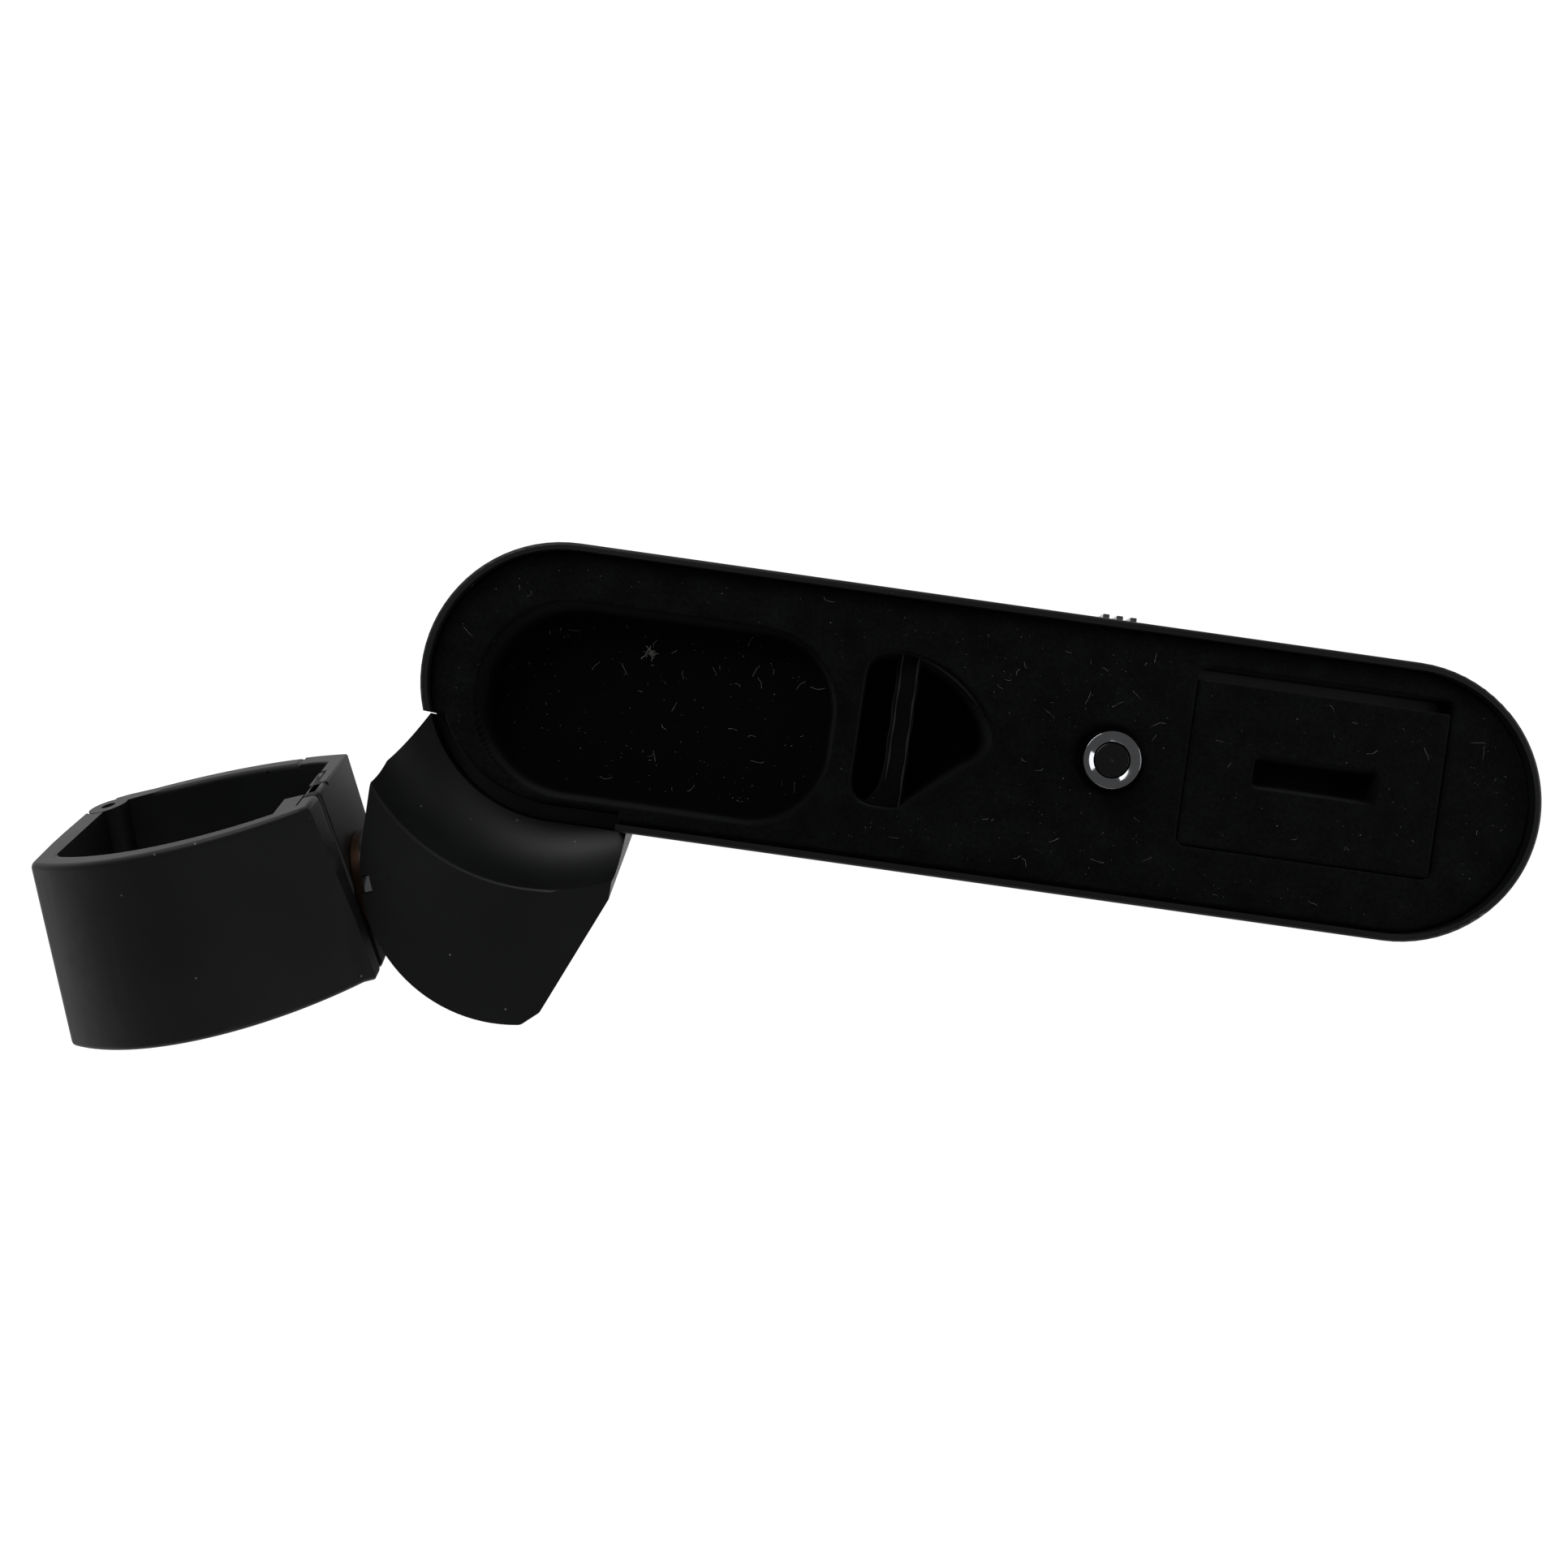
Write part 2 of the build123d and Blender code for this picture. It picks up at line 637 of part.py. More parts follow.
def flank_cut(inset=0.0):
    """Wedge that leans the inner flank of the bracket under its face, moved into the bracket by inset."""
    toe = Vector(*bracket_toe, bracket_high)
    hip = Vector(*bracket_hip, bracket_high)
    along = (hip - toe).normalized()
    out = along.cross(Vector(0, 0, 1))
    lean_in = out * cos(radians(flank_lean)) - Vector(0, 0, 1) * sin(radians(flank_lean))
    plane = Plane(origin=(toe + hip) / 2, x_dir=along, z_dir=lean_in)
    return plane.location * Pos(0, 0, 20 - inset) * Box(80, 80, 40)


def make_bracket():
    body = extrude(bracket_outline(), bracket_high)
    body -= capsule_solid(-bracket_seat_gap, -1, bracket_high + 1)
    body -= cove_cutter()
    cavity = offset(bracket_outline(), -bracket_wall) - capsule(-bracket_wall)
    cavity = max(cavity.faces(), key=lambda face: face.area)
    body -= prism(cavity, bracket_cover_thick, cove_low - bracket_roof) - flank_cut(bracket_wall)
    cover_wall = bracket_wall - cover_lip
    body -= prism(offset(cavity, cover_lip), -1, bracket_cover_thick) - flank_cut(cover_wall)
    body += pivot_rod(0.0, pivot_wall, washer_r + nest_gap)
    body -= pivot_rod(-6.0, 0.0, washer_r + nest_gap)
    nest_end = pivot_wall + spring_washer_thick + pivot_nut_thick + bolt_tail + head_recess
    body -= pivot_rod(-4.0, nest_end, bolt_r + running)
    body -= pivot_rod(pivot_wall, nest_end, pivot_nut_flats / sqrt(3) + nest_gap)
    body -= flank_cut()
    for x in mount_screw_x:
        bore_y = -side_y(x) - mount_head_seat
        bore_long = 2 * (mount_head_seat + mount_screw_r)
        body -= Pos(x, bore_y, mount_screw_z) * Rot(90, 0, 0) * Cylinder(mount_screw_r + fit, bore_long)
        body -= (Pos(x, bore_y - head_well_deep / 2, mount_screw_z) * Rot(90, 0, 0)
                 * Cylinder(mount_head_r + nest_gap, head_well_deep))
    cover = prism(offset(cavity, cover_lip - fit), 0, bracket_cover_thick) - flank_cut(cover_wall + fit)
    return body, cover


def make_mount_screw(x):
    seat = Pos(x, -side_y(x) - mount_head_seat, mount_screw_z) * Rot(90, 0, 0)
    head = seat * Pos(0, 0, mount_head_thick / 2) * Cylinder(mount_head_r, mount_head_thick)
    shank = seat * Pos(0, 0, -mount_screw_long / 2) * Cylinder(mount_screw_r - thread_gap, mount_screw_long)
    drive = seat * Pos(0, 0, mount_head_thick) * (Box(drive_long, drive_wide, drive_deep)
                                                  + Box(drive_wide, drive_long, drive_deep))
    return head + shank - drive


def make_pivot():
    head_seat = face_u - hub_thick + bolt_head_thick + head_recess
    nut_low = pivot_wall + spring_washer_thick
    bolt = pivot_rod(head_seat - bolt_head_thick, head_seat, bolt_head_r)
    bolt += pivot_rod(head_seat, nut_low + pivot_nut_thick + bolt_tail, bolt_r)
    bolt -= pivot_plane.location * Pos(0, 0, head_seat - bolt_head_thick) * Box(*driver_slot)
    bronze = pivot_rod(-2 * washer_thick, -washer_thick, washer_r) - pivot_rod(-4, 4, bolt_r + running)
    steel = pivot_rod(-washer_thick, 0, washer_r) - pivot_rod(-4, 4, bolt_r + running)
    spring = pivot_rod(pivot_wall, nut_low, spring_washer_r) - pivot_rod(0, 6, bolt_r + running)
    nut = pivot_plane.location * Pos(0, 0, nut_low) * nut_blank(pivot_nut_flats, pivot_nut_thick)
    nut -= pivot_rod(0, 9, bolt_r)
    return bolt, bronze, steel, spring, nut


# ================================================================ band
tilt = radians(band_tilt)
band_up = across_dir * cos(tilt) + Vector(0, 0, 1) * sin(tilt)
band_plane = Plane(origin=pivot_point, x_dir=pivot_dir, z_dir=band_up)
lean = Vector(band_lean, 0, 1)
hinge_u = band_left + band_corner
hinge_v = band_back_left - band_corner


def swept(sketch, low, high):
    """Sweep a band sketch between two heights along the leaning band axis."""
    start = Pos(band_lean * low, 0, low) * sketch
    return extrude(start, amount=(high - low) * lean.length, dir=lean)


def band_outline():
    front = ThreePointArc((band_left, band_front_left), band_front_bulge, (face_u, band_front_right))
    back = ThreePointArc((face_u, band_back_right), band_back_bulge, (band_left, band_back_left))
    past = (band_past_hub, band_front_right), (band_past_hub, band_back_right)
    blank = make_face([front, Line(front @ 1, past[0]), Line(*past), Line(past[1], back @ 0), back,
                       Line(back @ 1, front @ 0)])
    left_corners = blank.vertices().sort_by(Axis.X)[:2]
    return fillet(left_corners, band_corner)


def span(u0, u1, v0, v1):
    return Pos((u0 + u1) / 2, (v0 + v1) / 2) * Rectangle(u1 - u0, v1 - v0)


def hinge_rod(low, high, radius):
    """Cylinder on the hinge axis; the ends are square to the axis, their middles at low and high."""
    axis = Plane(origin=(hinge_u, hinge_v, 0), z_dir=lean)
    long = (high - low) * lean.length
    return axis.location * Pos(0, 0, (low + high) / 2 * lean.length) * Cylinder(radius, long)


def make_band():
    outer = swept(band_outline(), band_low, band_high)
    hollow = offset(band_outline(), -band_wall) & Pos(-50 + face_u - hub_thick, 0) * Rectangle(100, 100)
    ring = outer - swept(hollow, band_low - 1, band_high + 1)
    ring -= Pos(50 + face_u, 0, 0) * Box(100, 100, 100)
    third = (band_high - band_low) / 3
    low_joint = band_low + third
    high_joint = band_high - third

    far = 2 * abs(band_left)
    gate_zone = span(-far, hinge_u + hinge_r + hinge_wrap, -far, hinge_v)
    gate_zone += span(-far, far, -far, gate_end)
    gate = ring & swept(gate_zone, band_low - 1, band_high + 1)
    frame_zone = span(hinge_u, far, hinge_v, far)
    frame_zone += span(hinge_u + hinge_r + 2 * hinge_wrap, far, 0, far)
    frame_zone += span(face_u - 2 * hub_thick, far, gate_end + gate_gap, far)
    frame = ring & swept(frame_zone, band_low - 1, band_high + 1)

    clear = hinge_r + slide_gap
    gap = slide_gap / 2
    frame -= hinge_rod(low_joint - gap, high_joint + gap, clear)
    gate -= hinge_rod(band_low - 1, low_joint + gap, clear)
    gate -= hinge_rod(high_joint - gap, band_high + 1, clear)
    gate += hinge_rod(low_joint + gap, high_joint - gap, hinge_r)
    knuckles = hinge_rod(band_low - 1, low_joint - gap, hinge_r)
    knuckles += hinge_rod(high_joint + gap, band_high + 1, hinge_r)
    frame += knuckles & Pos(0, 0, (band_low + band_high) / 2) * Box(200, 200, band_high - band_low)
    pin = hinge_rod(band_low + pin_sunk, band_high - pin_sunk, hinge_pin_r)
    frame -= hinge_rod(band_low + pin_sunk, band_high + 1, hinge_pin_r)
    gate -= hinge_rod(band_low - 1, band_high + 1, hinge_pin_r + running)

    to_axis = Rot(0, 90, 0)
    frame -= Pos(face_u - hub_thick / 2, 0, 0) * to_axis * Cylinder(bolt_r + running, 3 * hub_thick)
    bore_end = face_u - hub_thick + head_recess + bolt_head_thick + head_bore_gap
    frame -= Pos(bore_end - 5, 0, 0) * to_axis * Cylinder(bolt_head_r + slide_gap, 10)

    shift = band_lean * band_high
    catch_zone = box(face_u - hub_thick - catch_back, face_u + 1, catch_bar_v, 2 * band_high,
                     band_high - catch_deep, band_high + 1)
    catch_zone += box(face_u - catch_leg, face_u + 1, catch_leg_v, catch_bar_v, catch_leg_w, band_high + 1)
    block = frame & catch_zone
    frame -= catch_zone
    tab_end = face_u - hub_thick + shift - gate_gap
    gate += box(tab_end - tab_thick, tab_end, gate_end - tab_root, gate_end + tab_reach,
                band_high - tab_high, band_high - pin_sunk)
    place = band_plane.location
    return place * frame, place * gate, place * pin, place * block


# ================================================================ write the parts
bezel, nut, cap, cap_low = make_button()
tact, dome, plunger = make_tact_switch(cap_low)
switch, knob = make_slide_switch()
door, door_skin = make_door()
base_contact, side_contact = make_contacts()
chip, small_parts, crystal, buzzer = make_board_parts()
bracket, bracket_cover = make_bracket()
bolt, bronze, steel, spring, pivot_nut = make_pivot()
frame, gate, hinge_pin, catch = make_band()

save("back_shell", make_back_shell())
save("face_plate", make_face_plate())
save("face_pad", make_face_pad())
save("button_bezel", bezel)
save("button_nut", nut)
save("button_cap", cap)
save("button_plunger", plunger)
save("tact_switch_body", tact)
save("snap_dome", dome)
save("slide_switch_body", switch)
save("slide_switch_knob", knob)
save("battery_door", door)
save("door_pad", door_skin)
save("button_cells", *make_cells())
save("base_contact", base_contact)
save("side_contact", side_contact)
save("circuit_board", make_board())
save("controller_chip", chip)
save("chip_components", *small_parts)
save("crystal", crystal)
save("buzzer", buzzer)
save("case_screws", *[make_case_screw(x, y) for x, y in screw_places])
save("bracket_arm", bracket)
save("bracket_cover", bracket_cover)
save("bracket_screws", *[make_mount_screw(x) for x in mount_screw_x])
save("pivot_bolt", bolt)
save("bronze_washer", bronze)
save("steel_washer", steel)
save("spring_washer", spring)
save("pivot_nut", pivot_nut)
save("band_frame", frame)
save("band_gate", gate)
save("hinge_pin", hinge_pin)
save("catch_block", catch)

print("pivot point", [round(c, 4) for c in pivot_point], "axis", [round(c, 6) for c in pivot_dir])
hinge_axis = (band_plane.location * Pos(hinge_u, hinge_v, 0)).position
band_axis = (band_up + pivot_dir * band_lean).normalized()
print("hinge point", [round(c, 4) for c in hinge_axis], "axis", [round(c, 6) for c in band_axis])
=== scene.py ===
# %% [markdown]
# # A finger-worn clicker pod
# The object is a flat capsule of black moulded plastic. Its face carries a pad of black flock, which is
# short fibre glued on end, with an oval dish for the thumb, a bullet-shaped recess with a bar for a lanyard,
# a polished stud round a push button, and a battery door. A bracket holds a hinged band for the finger.
# The engineering model is loaded first and never moved. Where its shape is already right it only gets a
# better material. Where the real surface is soft, rounded or turned, a new piece stands for it.

# %% Load the engineering model
import json
import math

import bmesh
import bpy
import numpy as np
from mathutils import Matrix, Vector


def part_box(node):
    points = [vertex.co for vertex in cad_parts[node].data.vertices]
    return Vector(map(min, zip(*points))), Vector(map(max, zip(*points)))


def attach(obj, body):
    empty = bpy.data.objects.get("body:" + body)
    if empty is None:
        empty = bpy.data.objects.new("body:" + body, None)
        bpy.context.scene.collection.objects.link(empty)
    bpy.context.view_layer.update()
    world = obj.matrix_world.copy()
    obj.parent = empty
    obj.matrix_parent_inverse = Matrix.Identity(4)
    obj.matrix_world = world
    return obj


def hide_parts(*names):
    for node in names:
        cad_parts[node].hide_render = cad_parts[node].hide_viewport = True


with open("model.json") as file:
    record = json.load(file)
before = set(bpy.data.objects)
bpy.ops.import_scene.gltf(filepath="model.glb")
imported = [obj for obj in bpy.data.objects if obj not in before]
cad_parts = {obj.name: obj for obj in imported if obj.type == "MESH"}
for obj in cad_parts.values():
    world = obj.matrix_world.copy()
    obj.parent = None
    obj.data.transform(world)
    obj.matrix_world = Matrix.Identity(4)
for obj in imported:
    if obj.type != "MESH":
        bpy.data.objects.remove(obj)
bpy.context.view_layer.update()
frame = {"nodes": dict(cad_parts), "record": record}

MM = 0.001
nodes = frame["nodes"]

# %% [markdown]
# ## Sizes that come from the model
# Every place is read from the model's own boxes, so that a change there is followed here. Only outlines
# that a box can't hold, such as the oval and the bullet, are given again as numbers in millimetres.

# %% Places
def mm_box(node):
    """Lowest and highest corner of a node, in millimetres, as two arrays."""
    low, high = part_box(node)
    return np.array(low) / MM, np.array(high) / MM


shell_low, shell_high = mm_box("back_shell")
pad_low, pad_high = mm_box("face_pad")
door_low, door_high = mm_box("door_pad")
bezel_low, bezel_high = mm_box("button_bezel")
cap_low, cap_high = mm_box("button_cap")
PAD_TOP = pad_high[2]
PAD_UNDER = pad_low[2]
PAD_RADIUS = pad_high[1]
PAD_RUN = pad_high[0] - PAD_RADIUS
BUTTON_X = (bezel_low[0] + bezel_high[0]) / 2
print("pad top", PAD_TOP, "pad radius", PAD_RADIUS, "half run", PAD_RUN, "button x", BUTTON_X)

# %% [markdown]
# ## Camera, floor and light
# The camera looks straight down on the face from about eleven centimetres, so near parts such as the band
# look larger than the pod. Black things are drawn by what they mirror: three long soft boxes round the sides
# edge every rounded rim with light, and there is little above, so flat faces stay dark. The floor is a pale
# sheet that glows a little, like a light table, which keeps shadows faint.

# %% Camera
EYE = np.array([-14.80, -5.43, 120.9]) * MM
PICTURE_RIGHT = np.array([0.990, 0.1405, 0.0])
PICTURE_UP = np.array([-0.1405, 0.990, 0.0])

lens = bpy.data.cameras.new("camera")
lens.sensor_width = 36.0
lens.lens = 31.7
lens.clip_start = 0.005
camera = bpy.data.objects.new("camera", lens)
bpy.context.scene.collection.objects.link(camera)
turn = np.eye(4)
turn[:3, 0] = PICTURE_RIGHT / np.linalg.norm(PICTURE_RIGHT)
turn[:3, 1] = PICTURE_UP / np.linalg.norm(PICTURE_UP)
turn[:3, 3] = EYE
camera.matrix_world = Matrix(turn)
bpy.context.scene.camera = camera
print("camera height in mm", EYE[2] / MM)


# %% Helpers for materials
def linear(hex_colour):
    """sRGB hex to linear RGB with alpha 1."""
    parts = [int(hex_colour[i:i + 2], 16) / 255 for i in (1, 3, 5)]
    return [c / 12.92 if c <= 0.04045 else ((c + 0.055) / 1.055) ** 2.4 for c in parts] + [1.0]


def put(tree, kind, settings=None, links=None):
    """Add a node; settings are attributes, or inputs by name or number; links are inputs fed by sockets."""
    node = tree.nodes.new(kind)
    for name, value in (settings or {}).items():
        if isinstance(name, int) or name in node.inputs:
            node.inputs[name].default_value = value
        else:
            setattr(node, name, value)
    for name, source in (links or {}).items():
        tree.links.new(source, node.inputs[name])
    return node


MIX_A, MIX_B, MIX_OUT = 6, 7, 2     # the Mix node's colour sockets, which share their names with others


def new_material(name):
    material = bpy.data.materials.new(name)
    material.use_nodes = True
    material.node_tree.nodes.clear()
    return material, material.node_tree


def finish_material(tree, shader):
    put(tree, "ShaderNodeOutputMaterial", links={"Surface": shader})


def ramp(tree, source, stops):
    """Colour ramp whose stops are (place, hex)."""
    node = put(tree, "ShaderNodeValToRGB", links={"Fac": source})
    while len(node.color_ramp.elements) < len(stops):
        node.color_ramp.elements.new(0.5)
    for element, (place, colour) in zip(node.color_ramp.elements, stops):
        element.position = place
        element.color = linear(colour)
    return node.outputs["Color"]


# %% Floor and light
def floor_material():
    """Pale matte sheet, lit partly from below."""
    material, tree = new_material("pale_backlit_sheet")
    matte = put(tree, "ShaderNodeBsdfDiffuse", {"Color": linear("#f7f7f7")})
    glow = put(tree, "ShaderNodeEmission", {"Color": linear("#ffffff"), "Strength": 1.3})
    mixed = put(tree, "ShaderNodeMixShader", {"Fac": 0.75})
    tree.links.new(matte.outputs[0], mixed.inputs[1])
    tree.links.new(glow.outputs[0], mixed.inputs[2])
    finish_material(tree, mixed.outputs[0])
    return material


floor_half = 1.6
floor_mesh = bpy.data.meshes.new("floor")
floor_mesh.from_pydata([(-floor_half, -floor_half, -0.0002), (floor_half, -floor_half, -0.0002),
                        (floor_half, floor_half, -0.0002), (-floor_half, floor_half, -0.0002)], [], [(0, 1, 2, 3)])
floor = bpy.data.objects.new("floor", floor_mesh)
bpy.context.scene.collection.objects.link(floor)
floor_mesh.materials.append(floor_material())

world = bpy.data.worlds.new("studio")
world.use_nodes = True
world.node_tree.nodes["Background"].inputs["Color"].default_value = linear("#ffffff")
world.node_tree.nodes["Background"].inputs["Strength"].default_value = 0.24
bpy.context.scene.world = world
bpy.context.scene.view_settings.view_transform = "Standard"


def soft_box(name, place, size, watts, target=(-10.0, -4.0, 8.0)):
    """Rectangular area light at a place in mm, turned towards the target."""
    data = bpy.data.lights.new(name, "AREA")
    data.shape = "RECTANGLE"
    data.size, data.size_y = size[0] * MM, size[1] * MM
    data.energy = watts
    light = bpy.data.objects.new(name, data)
    way = np.array(target) - np.array(place)
    way = way / np.linalg.norm(way)
    side = np.cross(way, (0, 0, 1.0))
    side = side / np.linalg.norm(side)
    up = np.cross(side, way)
    pose = np.eye(4)
    pose[:3, 0], pose[:3, 1], pose[:3, 2], pose[:3, 3] = side, up, -way, np.array(place) * MM
    bpy.context.scene.collection.objects.link(light)
    light.matrix_world = Matrix(pose)
    return light


soft_box("upper_left_box", (-190, 260, 190), (260, 160), 0.75)
soft_box("right_box", (330, 60, 120), (200, 120), 0.35)
soft_box("near_box", (40, -330, 140), (260, 110), 0.16)

# %% [markdown]
# ## Moulded plastic
# The shell, bracket and band are black ABS from a mould with a fine spark-eroded texture. Spark erosion
# leaves a matte skin of grains a few hundredths of a millimetre wide; drawn at 0.25 mm here so that it
# shows. Handling leaves faint cloudy marks and dust. ABS has an IOR of about 1.53.

# %% Plastic materials
def dust(tree, place, cell_mm, speck_mm, amount=1.0):
    """Mask of bright specks: a cell pattern's distance to its centre under the speck's radius."""
    cells = put(tree, "ShaderNodeTexVoronoi", {"Scale": 1 / (cell_mm * MM)}, {"Vector": place})
    mask = put(tree, "ShaderNodeMapRange", {"From Min": speck_mm / cell_mm, "From Max": 0.4 * speck_mm / cell_mm,
                                            "To Min": 0.0, "To Max": amount}, {"Value": cells.outputs["Distance"]})
    return mask.outputs["Result"]


def moulded_abs(name, dark, light, rough, grain_mm=0.25, grain=0.35, specular=0.35, speck=0.5):
    """Black ABS: two close greys by a soft noise, fine grain in the bump, sparse dust."""
    material, tree = new_material(name)
    place = put(tree, "ShaderNodeTexCoord").outputs["Object"]
    cloud = put(tree, "ShaderNodeTexNoise", {"Scale": 1 / (9 * MM), "Detail": 4.0}, {"Vector": place})
    colour = ramp(tree, cloud.outputs["Fac"], [(0.35, dark), (0.7, light)])
    dusty = put(tree, "ShaderNodeMix", {"data_type": "RGBA", MIX_B: linear("#8f8f8c")},
                {"Factor": dust(tree, place, 2.2, 0.1, speck), MIX_A: colour})
    fine = put(tree, "ShaderNodeTexNoise", {"Scale": 1 / (grain_mm * MM), "Detail": 3.0}, {"Vector": place})
    bump = put(tree, "ShaderNodeBump", {"Strength": grain, "Distance": 0.02 * MM}, {"Height": fine.outputs["Fac"]})
    sheen = put(tree, "ShaderNodeMapRange", {"To Min": rough - 0.05, "To Max": rough + 0.07},
                {"Value": cloud.outputs["Fac"]})
    body = put(tree, "ShaderNodeBsdfPrincipled", {"IOR": 1.53, "Specular IOR Level": specular},
               {"Base Color": dusty.outputs[MIX_OUT], "Roughness": sheen.outputs["Result"],
                "Normal": bump.outputs["Normal"]})
    finish_material(tree, body.outputs[0])
    return material


spark_textured_abs = moulded_abs("spark_textured_abs", "#0a0b0b", "#101111", 0.47, specular=0.19)
plain_abs = moulded_abs("plain_moulded_abs", "#101111", "#161717", 0.4, speck=0.1)
natural_acetal = moulded_abs("natural_acetal", "#c9c4b4", "#d6d1c2", 0.35, specular=0.5, speck=0.0)
chip_resin = moulded_abs("chip_resin", "#141414", "#1b1b1b", 0.55, speck=0.0)
green_solder_mask = moulded_abs("green_solder_mask", "#0b3a20", "#10482a", 0.25, specular=0.5, speck=0.0)
print("plastics", [m.name for m in bpy.data.materials])


# %% [markdown]
# ## Flock
# Flock is nylon fibre about half a millimetre long, shot into glue by static charge. It swallows light, so
# it is the darkest thing here, and it only brightens at a glancing angle, which the sheen gives. Its pile
# lies unevenly, so the black is cloudy at 1 to 4 mm, with a tooth of 0.15 mm. Fingers rub the face a little
# grey. Below the face the colour is mixed down to black with depth: painted shade for the hollows' walls.

# %% Flock material
def black_flock(name, dark, light, tooth=0.6, shade_mm=0.4):
    """Near-black cloth of standing fibre: cloudy colour, coarse tooth, sheen, painted shade below the face."""
    material, tree = new_material(name)
    place = put(tree, "ShaderNodeTexCoord").outputs["Object"]
    cloud = put(tree, "ShaderNodeTexNoise", {"Scale": 1 / (3 * MM), "Detail": 5.0, "Roughness": 0.65},
                {"Vector": place})
    nap = put(tree, "ShaderNodeTexNoise", {"Scale": 1 / (0.35 * MM), "Detail": 4.0, "Roughness": 0.7},
              {"Vector": place})
    both = put(tree, "ShaderNodeMath", {"operation": "MULTIPLY"})
    tree.links.new(cloud.outputs["Fac"], both.inputs[0])
    tree.links.new(nap.outputs["Fac"], both.inputs[1])
    worn = ramp(tree, both.outputs[0], [(0.12, dark), (0.42, light)])
    # Painted shade: the colour goes to black as the surface lies lower than the pad's top, over shade_mm.
    height = put(tree, "ShaderNodeSeparateXYZ", links={"Vector": place})
    shade_from_height = put(tree, "ShaderNodeMapRange", {"From Min": (PAD_TOP - shade_mm) * MM, "From Max": PAD_TOP * MM},
                {"Value": height.outputs["Z"]})
    painted_hollow_shade = put(tree, "ShaderNodeMix", {"data_type": "RGBA", MIX_A: linear("#000000")},
                 {"Factor": shade_from_height.outputs["Result"], MIX_B: worn})
    colour = painted_hollow_shade.outputs[MIX_OUT]
    dusty = put(tree, "ShaderNodeMix", {"data_type": "RGBA", MIX_B: linear("#77777a")},
                {"Factor": dust(tree, place, 1.9, 0.06, 0.7), MIX_A: colour})
    bump = put(tree, "ShaderNodeBump", {"Strength": tooth, "Distance": 0.08 * MM}, {"Height": nap.outputs["Fac"]})
    body = put(tree, "ShaderNodeBsdfPrincipled",
               {"IOR": 1.53, "Specular IOR Level": 0.06, "Roughness": 0.95, "Sheen Weight": 0.06,
                "Sheen Roughness": 0.45, "Sheen Tint": linear("#b9bcc0")},
               {"Base Color": dusty.outputs[MIX_OUT], "Normal": bump.outputs["Normal"]})
    finish_material(tree, body.outputs[0])
    return material


pile_flock = black_flock("black_nylon_flock", "#020202", "#0f1010")
# The bar takes the same painted shade over a deeper range, so it is painted part way to black.
bar_flock = black_flock("black_nylon_flock_bar", "#020202", "#0d0e0e", shade_mm=2.4)


# %% [markdown]
# ## Metals
# The stud is polished steel, the button's disc is blackened and turned, one washer is bronze and one is
# nickel plated. A turned face keeps rings from the cutting tool, drawn 0.12 mm apart.

# %% Metal materials
def metal(name, colour, rough, noise_mm=0.6, wear=0.06):
    """Metal with its roughness broken by a soft noise, as fingers and tumbling leave it."""
    material, tree = new_material(name)
    place = put(tree, "ShaderNodeTexCoord").outputs["Object"]
    blur = put(tree, "ShaderNodeTexNoise", {"Scale": 1 / (noise_mm * MM), "Detail": 4.0}, {"Vector": place})
    spread = put(tree, "ShaderNodeMapRange", {"To Min": rough - wear / 2, "To Max": rough + wear},
                 {"Value": blur.outputs["Fac"]})
    body = put(tree, "ShaderNodeBsdfPrincipled", {"Metallic": 1.0, "Base Color": linear(colour)},
               {"Roughness": spread.outputs["Result"]})
    finish_material(tree, body.outputs[0])
    return material


def turned_disc(name, colour, rough, centre_mm, ring_mm):
    """Blackened metal with tool rings about an upright axis: a sine of the distance from the axis."""
    material, tree = new_material(name)
    place = put(tree, "ShaderNodeTexCoord").outputs["Object"]
    moved = put(tree, "ShaderNodeMapping", {"Location": (-centre_mm[0] * MM, -centre_mm[1] * MM, 0.0),
                                            "Scale": (1.0, 1.0, 0.0)}, {"Vector": place})
    away = put(tree, "ShaderNodeVectorMath", {"operation": "LENGTH"}, {"Vector": moved.outputs[0]})
    phase = put(tree, "ShaderNodeMath", {"operation": "MULTIPLY", 1: 2 * math.pi / (ring_mm * MM)})
    tree.links.new(away.outputs["Value"], phase.inputs[0])
    wave = put(tree, "ShaderNodeMath", {"operation": "SINE"})
    tree.links.new(phase.outputs[0], wave.inputs[0])
    bump = put(tree, "ShaderNodeBump", {"Strength": 0.25, "Distance": 0.01 * MM}, {"Height": wave.outputs[0]})
    body = put(tree, "ShaderNodeBsdfPrincipled", {"Metallic": 1.0, "Base Color": linear(colour), "Roughness": rough},
               {"Normal": bump.outputs["Normal"]})
    finish_material(tree, body.outputs[0])
    return material


polished_steel = metal("polished_steel", "#7a7b7d", 0.09)
zinc_steel = metal("zinc_plated_steel", "#a9abac", 0.3)
nickel_plate = metal("nickel_plate", "#d9d6cd", 0.16)
aged_bronze = metal("aged_bronze", "#3a2b21", 0.4)
gold_plate = metal("gold_plated_spring", "#caa860", 0.25)
black_disc = turned_disc("blackened_turned_steel", "#2b2b2b", 0.34, (BUTTON_X, 0.0), 0.12)


def smoky_polycarbonate():
    """Clear-tinted knob: dark, glossy, with a lacquer-like second shine."""
    material, tree = new_material("smoky_polycarbonate")
    place = put(tree, "ShaderNodeTexCoord").outputs["Object"]
    cloud = put(tree, "ShaderNodeTexNoise", {"Scale": 1 / (0.8 * MM), "Detail": 2.0}, {"Vector": place})
    colour = ramp(tree, cloud.outputs["Fac"], [(0.3, "#2b2c2c"), (0.7, "#4a4c4c")])
    body = put(tree, "ShaderNodeBsdfPrincipled", {"IOR": 1.58, "Roughness": 0.14, "Coat Weight": 0.5,
                                                  "Coat Roughness": 0.05}, {"Base Color": colour})
    finish_material(tree, body.outputs[0])
    return material


